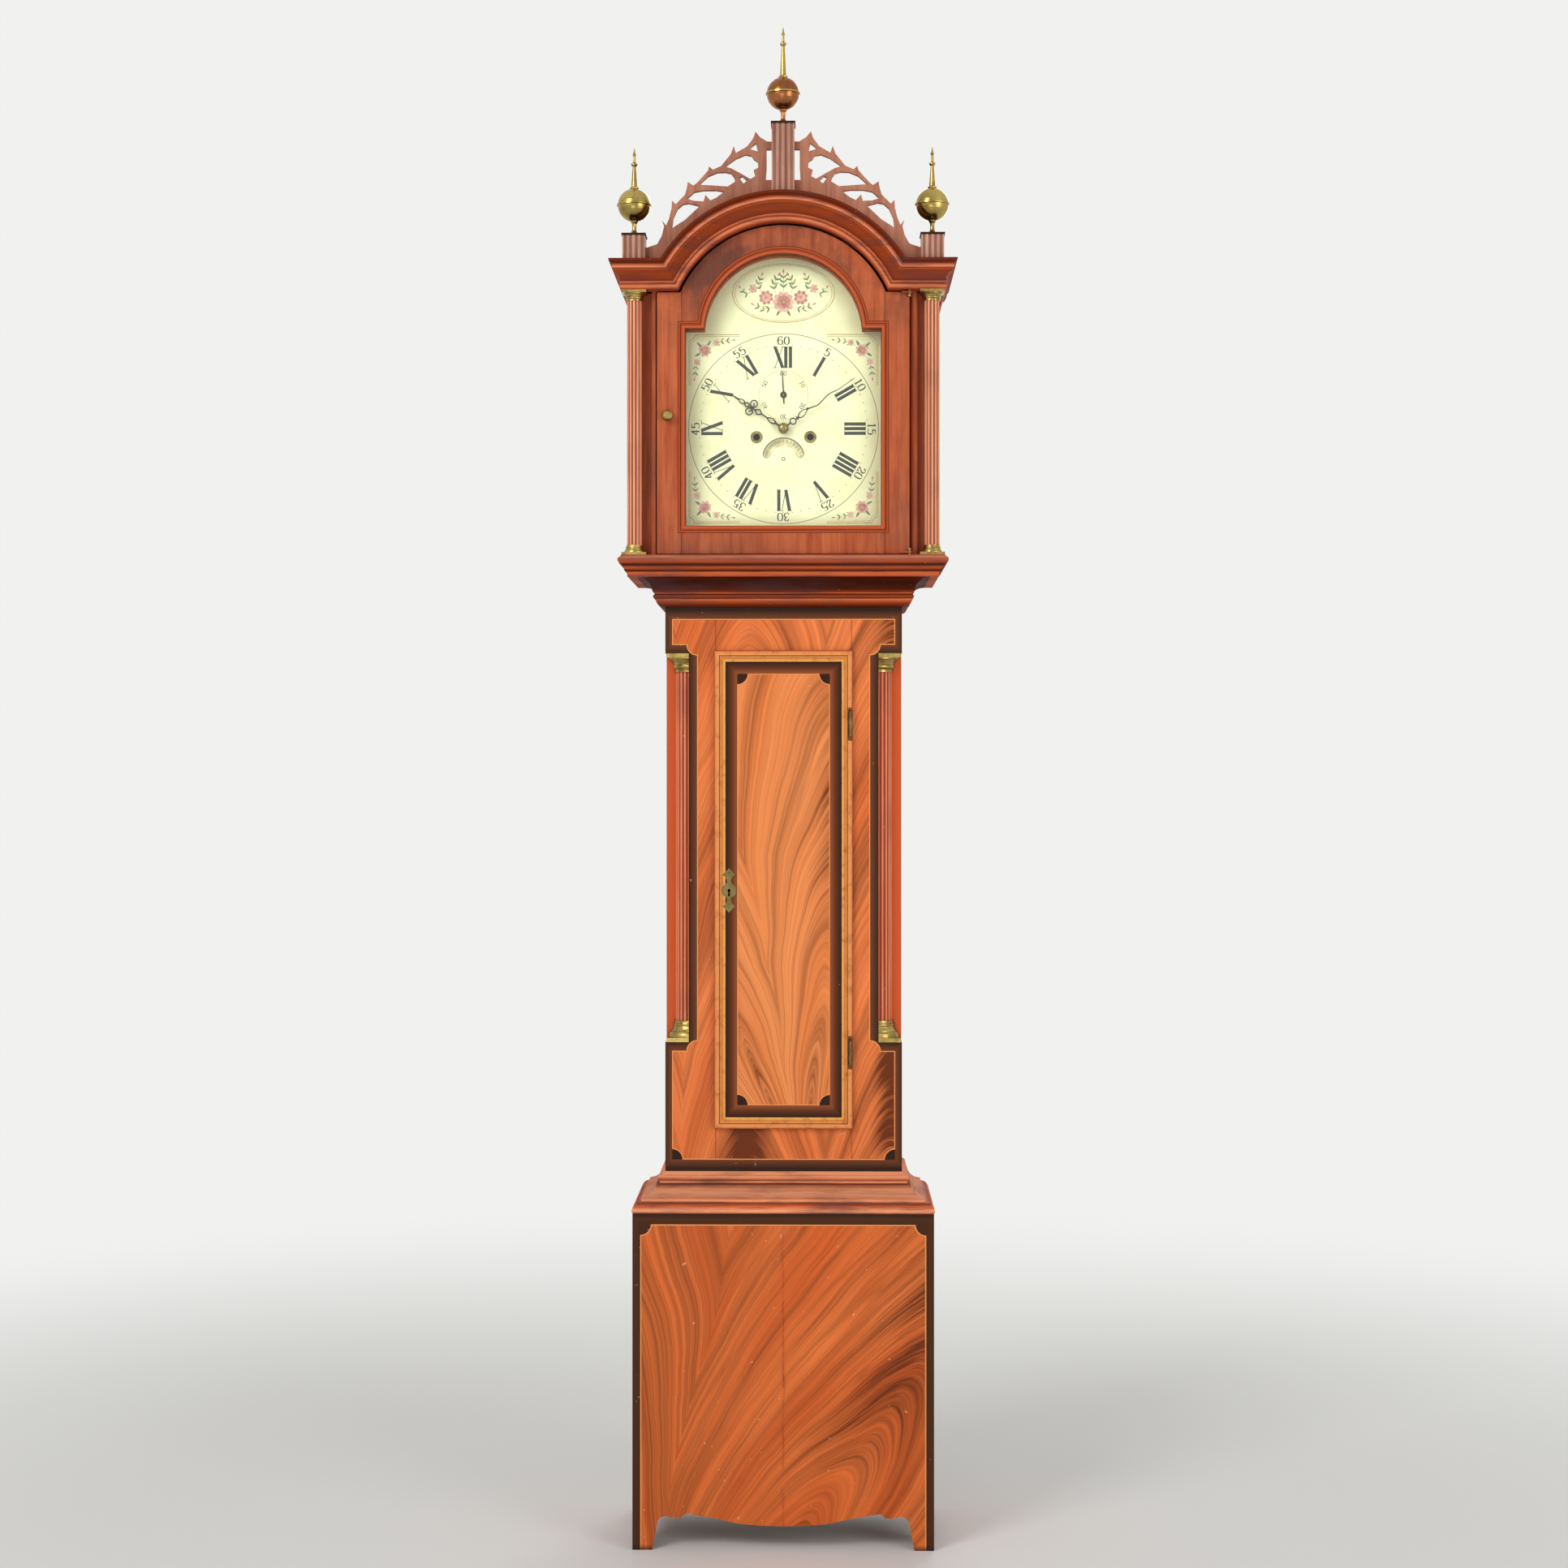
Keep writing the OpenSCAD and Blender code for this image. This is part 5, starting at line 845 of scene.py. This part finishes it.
bare = add(tree, "ShaderNodeMath", [spike, seam], operation="MAXIMUM")
colour = add(tree, "ShaderNodeMix", {"Factor": bare, "A": colour, "B": "#AE9654"},
             data_type="RGBA")
feed(tree, shader, {"Base Color": colour})
dress(copper, "centre_finial")

# Hood door glass: one pane of thin blown glass held behind the door's moulding, clear with a
# faint green tint. Its shadow on the dial is as light as the glass is.
glass, tree, shader = new_material("clear_window_glass")
feed(tree, shader, {"Base Color": "#F4FAF6", "Roughness": 0.0, "IOR": 1.5,
                    "Transmission Weight": 1.0})
path = add(tree, "ShaderNodeLightPath")
clear = add(tree, "ShaderNodeBsdfTransparent", {"Color": "#F6FBF8"})
through = add(tree, "ShaderNodeMixShader", [path.outputs["Is Shadow Ray"], shader, clear])
out = next(n for n in tree.nodes if n.type == "OUTPUT_MATERIAL")
feed(tree, out, {"Surface": through})
dress(glass, "hood_glass")

# Dial: sheet iron coated with a cream japanned ground, darker and yellower towards the edge of the
# door's opening, with a thin circle, minute dots and a dotted seconds circle painted on it.
opening_darkening_w = 30 * mm
oily_r, oiliest_r = 24 * mm, 8 * mm
joints = {j["name"]: j for j in frame["record"]["behaviour"]["joints"]}
arbor_z = joints["hour_pipe"]["pos_m"][2]
seconds_z = joints["seconds_arbor"]["pos_m"][2]
dial_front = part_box("dial")[0].y
dial_paint, tree, shader = new_material("japanned_dial_paint")
x, y, z = object_xyz(tree)
spot = add(tree, "ShaderNodeTexCoord").outputs["Object"]
age = add(tree, "ShaderNodeTexNoise", {"Vector": spot, "Scale": 16, "Detail": 5, "Roughness": 0.6})
colour = add(tree, "ShaderNodeValToRGB", [age], ramp=[(0.3, "#EEE2B2"), (0.72, "#FBF2CC")])
# The ground is darkened over the last 30 mm inside the edge of the door's opening.
edge, arch = sight_opening(tree, x, z)
edge = add(tree, "ShaderNodeMath", [edge, arch, opening_darkening_w], operation="SMOOTH_MAX")
opening_darkening = add(tree, "ShaderNodeMapRange", {"Value": edge, "From Min": opening_darkening_w, "From Max": 0.0,
                                        "To Max": 0.6}, interpolation_type="SMOOTHSTEP")
colour = add(tree, "ShaderNodeMix", {"Factor": opening_darkening, "A": colour, "B": "#B4AA7C"},
             data_type="RGBA")


def dial_ring(tree, x, z, centre_z, radius, width):
    """1 on a thin circle round a point of the dial."""
    far = from_point(tree, (x, z), (0, centre_z))
    off = from_line(tree, far, radius)
    return add(tree, "ShaderNodeMapRange", {"Value": off, "From Min": width,
                                            "From Max": width * 0.5, "To Max": 0.75})


def dial_dots(tree, x, z, centre_z, radius, count, size):
    """1 on each of a circle of dots."""
    up = add(tree, "ShaderNodeMath", [z, centre_z], operation="SUBTRACT")
    angle = add(tree, "ShaderNodeMath", [x, up], operation="ARCTAN2")
    part = add(tree, "ShaderNodeMath", [angle, count / math.tau], operation="MULTIPLY")
    part = add(tree, "ShaderNodeMath", [part, 0.5], operation="ADD")
    part = add(tree, "ShaderNodeMath", [part], operation="FRACT")
    part = add(tree, "ShaderNodeMath", [part, 0.5], operation="SUBTRACT")
    across = add(tree, "ShaderNodeMath", [part, radius * math.tau / count], operation="MULTIPLY")
    far = from_point(tree, (x, z), (0, centre_z))
    off = add(tree, "ShaderNodeMath", [far, radius], operation="SUBTRACT")
    far = from_point(tree, (across, off))
    return add(tree, "ShaderNodeMapRange", {"Value": far, "From Min": size, "From Max": size * 0.5,
                                            "To Max": 0.8})


ink = "#3A3A34"
calendar_z = joints["calendar_pin"]["pos_m"][2]
minute_circle, minute_dots = 147.7 * mm, 130.5 * mm
seconds_dots, calendar_pivot = 38.4 * mm, 2.5 * mm
for mark in (dial_ring(tree, x, z, arbor_z, minute_circle, 0.8 * mm),
             dial_ring(tree, x, z, calendar_z, calendar_pivot, 1.1 * mm),
             dial_dots(tree, x, z, arbor_z, minute_dots, 60, 1.1 * mm),
             dial_dots(tree, x, z, seconds_z, seconds_dots, 60, 1.0 * mm)):
    colour = add(tree, "ShaderNodeMix", {"Factor": mark, "A": colour, "B": ink}, data_type="RGBA")
far = from_point(tree, (x, z), (0, arbor_z))
stain = add(tree, "ShaderNodeMapRange", {"Value": far, "From Min": oily_r, "From Max": oiliest_r,
                                         "To Max": 0.4})
colour = add(tree, "ShaderNodeMix", {"Factor": stain, "A": colour, "B": "#C8B080"},
             data_type="RGBA")
feed(tree, shader, {"Base Color": colour, "Roughness": 0.42, "Specular IOR Level": 0.3})
bump = add(tree, "ShaderNodeBump", {"Height": age, "Strength": 0.05, "Distance": 0.001})
feed(tree, shader, {"Normal": bump})
dress(dial_paint, "dial")

# Calendar wheel: a brass disc behind the crescent slot, painted cream with the days on it, and
# darkened along the slot's outer rim by a painted shadow.
slot_rim, slot_shadow_r = 30.5 * mm, 33 * mm
calendar_paint, tree, shader = new_material("yellowed_calendar_paint")
x, y, z = object_xyz(tree)
spot = add(tree, "ShaderNodeTexCoord").outputs["Object"]
age = add(tree, "ShaderNodeTexNoise", {"Vector": spot, "Scale": 90, "Detail": 4, "Roughness": 0.6})
colour = add(tree, "ShaderNodeValToRGB", [age], ramp=[(0.3, "#C4AE80"), (0.72, "#EEDEB0")])
far = from_point(tree, (x, z), (0, calendar_z))
# A painted shadow darkens the wheel along the slot's outer rim.
slot_shadow = add(tree, "ShaderNodeMapRange", {"Value": far, "From Min": slot_rim, "From Max": slot_shadow_r,
                                        "To Max": 0.85})
colour = add(tree, "ShaderNodeMix", {"Factor": slot_shadow, "A": colour, "B": "#4A3C28"},
             data_type="RGBA")
feed(tree, shader, {"Base Color": colour, "Roughness": 0.5})
dress(calendar_paint, "calendar_wheel")

# Numerals: painted black with a pointed brush, thick down the strokes and thin across them.
# They stand out by the thickness of their paint. Roman hours, arabic minutes, seconds and days.
# Each is drawn flat, in mm, and then laid on the dial.
black_paint, tree, shader = new_material("black_numeral_paint")
spot = add(tree, "ShaderNodeTexCoord").outputs["Object"]
thin = add(tree, "ShaderNodeTexNoise", {"Vector": spot, "Scale": 300, "Detail": 3})
colour = add(tree, "ShaderNodeValToRGB", [thin], ramp=[(0.35, "#11100D"), (0.75, "#2C2B25")])
feed(tree, shader, {"Base Color": colour, "Roughness": 0.5})
paint_t = 0.15 * mm
upright = Matrix.Rotation(math.pi / 2, 4, "X") @ Matrix.Scale(mm, 4)


def on_dial(angle, radius, centre_z, front):
    """From a flat drawing in mm, whose y points out from the middle of a ring of that radius in
    mm, to its place."""
    return (Matrix.Translation((0, front, centre_z)) @ Matrix.Rotation(angle, 4, "Y") @ upright
            @ Matrix.Translation((0, radius, 0)))


def stroke(form, place, points, thick, thin, rounds=2, colour=0):
    """A brush stroke along smoothed points, thick where it runs up or down. A stroke that ends
    where it starts is closed."""
    closed = points[0] == points[-1]
    points = [Vector(p) for p in (points[:-1] if closed else points)]
    for _ in range(rounds):
        pairs = list(zip(points, points[1:] + points[:1] if closed else points[1:]))
        cut = [p for a, b in pairs for p in (a * 0.75 + b * 0.25, a * 0.25 + b * 0.75)]
        points = cut if closed else [points[0]] + cut[1:-1] + [points[-1]]
    rows = []
    count = len(points)
    for i, point in enumerate(points):
        last = points[i - 1] if i or closed else point
        ahead = points[(i + 1) % count] if i + 1 < count or closed else point
        run = (ahead - last).normalized()
        wide = thin + (thick - thin) * abs(run.y) ** 1.6
        across = Vector((-run.y, run.x)) * wide / 2
        rows.append([form.verts.new(place @ (point + turn * across).to_3d()) for turn in (-1, 1)])
    if closed:
        rows.append(rows[0])
    for (a, b), (c, d) in zip(rows, rows[1:]):
        form.faces.new((a, b, d, c)).material_index = colour


def paint_piece(name, form, body, slot, *materials):
    """Gives flat painted shapes the thickness of paint, and makes the piece."""
    back = max(v.co.y for v in form.verts)
    flat = form.verts[:]
    raised = bmesh.ops.extrude_face_region(form, geom=form.faces[:], use_keep_orig=True)
    for spot in flat:
        spot.co.y = back
    bmesh.ops.translate(form, vec=(0, -paint_t, 0), verts=[
        v for v in raised["geom"] if isinstance(v, bmesh.types.BMVert)])
    bmesh.ops.recalc_face_normals(form, faces=form.faces)
    piece = new_piece(name, form, *materials)
    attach(piece, body)
    return piece


# Digits one unit tall, each a list of strokes.
digit_step, digit_hair = 0.82, 0.07
loop = [(0.3, 0), (0.27, 0.3), (0.15, 0.48), (-0.15, 0.48), (-0.27, 0.3), (-0.3, 0),
        (-0.27, -0.3), (-0.15, -0.48), (0.15, -0.48), (0.27, -0.3), (0.3, 0)]
six = [(0.26, 0.34), (0.16, 0.5), (-0.08, 0.5), (-0.28, 0.22), (-0.3, -0.12), (-0.2, -0.46),
       (0.08, -0.54), (0.3, -0.36), (0.3, -0.08), (0.12, 0.1), (-0.12, 0.08), (-0.28, -0.1)]
digits = {
    "0": [loop],
    "1": [[(-0.14, 0.34), (0.02, 0.48)], [(0.04, 0.5), (0.04, -0.48)],
          [(-0.14, -0.48), (0.2, -0.48)]],
    "2": [[(-0.26, 0.22), (-0.22, 0.44), (0.02, 0.54), (0.26, 0.42), (0.26, 0.16),
           (0.04, -0.1), (-0.28, -0.46)],
          [(-0.28, -0.42), (-0.1, -0.4), (0.12, -0.52), (0.28, -0.42), (0.3, -0.24)]],
    "3": [[(-0.24, 0.3), (-0.14, 0.5), (0.12, 0.52), (0.26, 0.34), (0.18, 0.1), (-0.04, 0.04)],
          [(-0.04, 0.04), (0.2, 0.02), (0.32, -0.22), (0.16, -0.5), (-0.12, -0.52),
           (-0.28, -0.32)]],
    "4": [[(0.08, 0.5), (-0.3, -0.2)], [(-0.3, -0.2), (0.3, -0.2)], [(0.1, 0.5), (0.1, -0.5)],
          [(-0.04, -0.49), (0.24, -0.49)]],
    "5": [[(-0.18, 0.48), (0.04, 0.44), (0.26, 0.5)], [(-0.2, 0.48), (-0.22, 0.02)],
          [(-0.22, 0.02), (-0.04, 0.16), (0.22, 0.1), (0.32, -0.16), (0.2, -0.46),
           (-0.06, -0.54), (-0.28, -0.36)]],
    "6": [six],
    "7": [[(-0.24, 0.32), (-0.22, 0.46), (0.0, 0.48), (0.26, 0.48)],
          [(0.26, 0.48), (0.04, 0.1), (0.0, -0.5)]],
    "8": [[(x * 0.8, y * 0.48 + 0.27) for x, y in loop],
          [(x, y * 0.54 - 0.24) for x, y in loop]],
    "9": [[(-x, -y) for x, y in six]],
}


def numeral_ring(name, words, radius, centre_z, size, weight, body, front):
    """A ring of small numerals with their tops outwards. Their strokes are weight times as thick
    as they are tall."""
    form = bmesh.new()
    for number, word in enumerate(words):
        place = on_dial(math.tau * number / len(words), radius, centre_z, front)
        for at, digit in enumerate(word):
            left = (at - (len(word) - 1) / 2) * digit_step
            for points in digits[digit]:
                stroke(form, place, [((x + left) * size, y * size) for x, y in points],
                       weight * size, digit_hair * size)
    return paint_piece(name, form, body, "dark_iron", black_paint)


form = bmesh.new()
hour_low, tall = 95, 32.5
bar, hair, serif_half = 5.0, 1.0, 3.3
step, half, gap = 7.2, 6, 2.5
for hour, letters in enumerate(
        ("XII", "I", "II", "III", "IIII", "V", "VI", "VII", "VIII", "IX", "X", "XI")):
    place = on_dial(math.tau * hour / 12, hour_low, arbor_z, dial_front)
    widths = [step if letter == "I" else 2 * half + gap for letter in letters]
    left = -sum(widths) / 2
    for letter, width in zip(letters, widths):
        middle = left + width / 2
        left += width
        lines = {"I": [(0, 0, bar)], "V": [(-half, 0, bar), (half, 0, hair)],
                 "X": [(-half, half, bar), (half, -half, hair)]}[letter]
        feet = [] if letter == "V" else [(low, 0) for top, low, wide in lines]
        for top, low, wide in lines:
            stroke(form, place, [(middle + top, tall), (middle + low, 0)], wide, wide, 0)
        for end, height in feet + [(top, tall) for top, low, wide in lines]:
            stroke(form, place, [(middle + end - serif_half, height),
                                 (middle + end + serif_half, height)], hair, hair * 0.8, 0)
paint_piece("hour_numerals", form, "case", "dark_iron", black_paint)
numeral_ring("minute_numerals", ["60"] + [str(n) for n in range(5, 60, 5)], 137.2, arbor_z,
             12.4, 0.17, "case", dial_front)
numeral_ring("seconds_numerals", ["60", "10", "20", "30", "40", "50"], 33.6, seconds_z,
             6.4, 0.16, "case", dial_front)
numeral_ring("calendar_numerals", [str(n) for n in range(1, 32)], 28, calendar_z,
             4.2, 0.15, "calendar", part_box("calendar_wheel")[0].y)

# Dial ornament: sprays of daisies and leaves painted in oil, with fine gilt lines round them,
# one in each corner and a garland in the arch.
tints = []
for name, dark, pale, rough in (
        ("gilt_dial_lines", "#A07A34", "#C4A058", 0.4),
        ("leaf_green_paint", "#55683E", "#7E8A56", 0.5),
        ("olive_leaf_paint", "#8C8448", "#B0A460", 0.5),
        ("pink_petal_paint", "#CE8E7E", "#E2B2A0", 0.5),
        ("rose_petal_paint", "#B0605A", "#CC847A", 0.5),
        ("ochre_heart_paint", "#A8782E", "#C89A4A", 0.5)):
    tint, tree, shader = new_material(name)
    spot = add(tree, "ShaderNodeTexCoord").outputs["Object"]
    dabs = add(tree, "ShaderNodeTexNoise", {"Vector": spot, "Scale": 210, "Detail": 3})
    colour = add(tree, "ShaderNodeValToRGB", [dabs], ramp=[(0.35, dark), (0.65, pale)])
    feed(tree, shader, {"Base Color": colour, "Roughness": rough})
    tints.append(tint)
gilt, green, olive, pink, rose, ochre = range(6)


def dab(form, place, at, angle, length, width, layer, colour, tip=1.0):
    """One dab of the brush: a leaf or petal growing from a point at an angle."""
    outline = []
    for i in range(14):
        turn = math.tau * i / 14
        out = (1 - math.cos(turn)) / 2
        swell = math.sin(turn) * (1 - tip * 0.55 * out)
        outline.append(Vector((out * length, swell * width / 2)))
    spin = Matrix.Rotation(angle, 2)
    lift = Vector((0, 0, layer * 0.04))
    verts = [form.verts.new(place @ ((spin @ p + Vector(at)).to_3d() + lift)) for p in outline]
    form.faces.new(verts).material_index = colour


def daisy(form, place, at, size, outer, inner, petals=8):
    """A flower of two rings of petals round a heart."""
    for ring, (colour, reach) in enumerate(((outer, 1.0), (inner, 0.66))):
        for i in range(petals):
            angle = math.tau * (i + ring / 2) / petals + at[0] * 0.04
            dab(form, place, at, angle, size * reach, size * reach * 0.62, 2 + 2 * ring + i % 2,
                colour, 0.0)
    dab(form, place, (at[0] - size * 0.17, at[1]), 0, size * 0.34, size * 0.34, 7, ochre, 0.0)


def sprig(form, place, points, leaves, size):
    """A stem along points with pairs of leaves, and a bud at its end."""
    stroke(form, place, points, 0.7, 0.5, 2, olive)
    for i in range(leaves):
        share = (i + 1) / (leaves + 1) * (len(points) - 1)
        start, end = Vector(points[int(share)]), Vector(points[int(share) + 1])
        at = start.lerp(end, share % 1)
        run = math.atan2(*(end - start).yx)
        for turn, colour in ((0.8, green), (-0.8, olive if i % 2 else green)):
            dab(form, place, at, run + turn, size, size * 0.42, 1, colour)
    end, last = Vector(points[-1]), Vector(points[-2])
    run = math.atan2(*(end - last).yx)
    dab(form, place, end, run, size * 0.7, size * 0.45, 2, rose)


form = bmesh.new()
corner_x, corner_up = 151.3 * mm, 151 * mm
for side in (-1, 1):
    for up in (-1, 1):
        place = (Matrix.Translation((side * corner_x, dial_front, arbor_z + up * corner_up))
                 @ Matrix.Diagonal((-side, 1, -up, 1)) @ upright)
        for gap, wide in ((4.5, 1.2), (7.2, 0.7)):
            bite = [(gap + 9 * math.cos(t), gap + 9 * math.sin(t))
                    for t in (1.57, 1.18, 0.79, 0.39, 0)]
            line = [(gap, 84), (gap, 40)] + bite + [(40, gap), (84, gap)]
            stroke(form, place, line, wide, wide, 1, gilt)
        daisy(form, place, (29, 29), 10.5, pink, rose)
        daisy(form, place, (17, 47), 5.6, pink, pink, 6)
        daisy(form, place, (47, 17), 5.6, pink, pink, 6)
        sprig(form, place, [(22, 39), (15, 54), (13, 72)], 3, 7)
        sprig(form, place, [(39, 22), (54, 15), (72, 13)], 3, 7)
        for turn in (2.6, 3.93, 5.25):
            foot = (29 + 8 * math.cos(turn), 29 + 8 * math.sin(turn))
            dab(form, place, foot, turn, 10, 5, 1, green)

place = on_dial(0, 211, arbor_z, dial_front)
for reach, wide in ((1.0, 1.2), (0.95, 0.7)):
    turns = [math.tau * i / 24 for i in range(24)]
    oval = [(80 * reach * math.cos(t), 46 * reach * math.sin(t)) for t in turns]
    stroke(form, place, oval + oval[:1], wide, wide, 1, gilt)
daisy(form, place, (0, -14), 17, pink, rose, 10)
for side in (-1, 1):
    daisy(form, place, (side * 27, -7), 11.5, rose, pink)
    daisy(form, place, (side * 47, 7), 7.5, pink, pink, 6)
    for stem, leaves, size in (([(12, 0), (16, 14), (8, 27)], 3, 9),
                               ([(34, 0), (40, 14), (34, 27)], 3, 8),
                               ([(50, 2), (60, -2), (67, 8)], 2, 7),
                               ([(14, -22), (30, -26), (46, -18)], 3, 8)):
        sprig(form, place, [(side * out, up) for out, up in stem], leaves, size)
    dab(form, place, (side * 6, -27), -math.pi / 2 + side * 0.5, 10, 5, 1, green)
sprig(form, place, [(0, 2), (0, 16), (0, 31)], 3, 9)
paint_piece("dial_ornament", form, "case", "dial_paint", *tints)

# Hands: pierced and filed from sheet iron, and left dark. A domed brass collet, turned, holds the
# minute hand on its arbor.
dress(iron, "hour_hand", "minute_hand", "seconds_hand")
form = bmesh.new()
minute_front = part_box("minute_hand")[0].y
collet = [(0, 5.5), (3.5, 5.2), (6.2, 3.6), (7.4, 1.6), (7.6, 0.1)]
points = [form.verts.new((r * mm, 0, height * mm)) for r, height in collet]
edges = [form.edges.new(pair) for pair in zip(points, points[1:])]
bmesh.ops.spin(form, geom=points + edges, axis=(0, 0, 1), cent=(0, 0, 0), angle=math.tau,
               steps=40, use_merge=True)
bmesh.ops.remove_doubles(form, verts=form.verts[:], dist=0.00001)
rim = [e for e in form.edges if e.is_boundary]
bmesh.ops.contextual_create(form, geom=rim)
place = Matrix.Translation((0, minute_front, arbor_z)) @ Matrix.Rotation(math.pi / 2, 4, "X")
bmesh.ops.transform(form, matrix=place, verts=form.verts[:])
bmesh.ops.recalc_face_normals(form, faces=form.faces)
dome = new_piece("hand_collet", form, brass)
for face in dome.data.polygons:
    face.use_smooth = True
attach(dome, "centre")

# Wheels, back cock and pendulum: cast brass, cut and polished, cleaner than the case's brasses
# because they are shut in.
brass_tones, brass_specks = ("#9A7F42", "#CDB06A"), "#6E5A30"
wheel_brass = cast_metal("clock_brass", brass_tones, roughness=0.26, spots=0.25, dull=brass_specks,
                         scale=40)
dress(wheel_brass, "back_cock", "motion_wheel", "hour_wheel", "third_wheel", "escape_wheel",
      "pendulum")

# Winding drums and plates: the same brass. The steel squares that the key turns and the front of
# the plates, which stay in the dark behind the dial, are painted near black as painted shade.
brass_shaded_in_front = cast_metal("clock_brass_with_painted_shade_in_front", brass_tones, roughness=0.26, spots=0.25,
                         dull=brass_specks, scale=40)
tree, shader, colour = next_coat(brass_shaded_in_front)
x, y, z = object_xyz(tree)
# Painted shade: all in front of the plates is near black.
front = add(tree, "ShaderNodeMath", [y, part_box("movement_plates")[0].y + 1 * mm],
            operation="LESS_THAN")
colour = add(tree, "ShaderNodeMix", {"Factor": front, "A": colour, "B": "#0E0C0A"},
             data_type="RGBA")
feed(tree, shader, {"Base Color": colour})
dress(brass_shaded_in_front, "movement_plates", "time_drum", "strike_drum")

# Bell: cast in bell metal, which is paler and greyer than brass, turned outside, and held over the
# plates by its standard.
dress(cast_metal("bell_metal", ("#8C7E66", "#C2B596"), roughness=0.28, spots=0.3, dull="#5E523C",
                 scale=30), "bell")

# Lines: twisted gut, doubled through the pulley of each weight. The hanging stretches are fixed
# under the seatboard, two cylinders to each weight, made at the place of the part's lines.
gut, tree, shader = new_material("twisted_gut_line")
spot = add(tree, "ShaderNodeTexCoord").outputs["Object"]
twist = add(tree, "ShaderNodeTexWave", {"Vector": spot, "Scale": 260, "Distortion": 0.6},
            bands_direction="DIAGONAL")
colour = add(tree, "ShaderNodeValToRGB", [twist], ramp=[(0.0, "#8E7648"), (1.0, "#D8C08C")])
feed(tree, shader, {"Base Color": colour, "Roughness": 0.5})
dress(gut, "line_tops")
line_r = 0.8 * mm
for side in ("time", "strike"):
    low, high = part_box(side + "_line")
    middle = (low + high) / 2
    form = bmesh.new()
    for x in (low.x + line_r, high.x - line_r):
        bmesh.ops.create_cone(form, cap_ends=True, segments=12, radius1=line_r, radius2=line_r,
                              depth=high.z - low.z,
                              matrix=Matrix.Translation((x, middle.y, middle.z)))
    hanging = new_piece(side + "_hanging_line", form, gut)
    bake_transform(hanging)
    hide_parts(side + "_line")
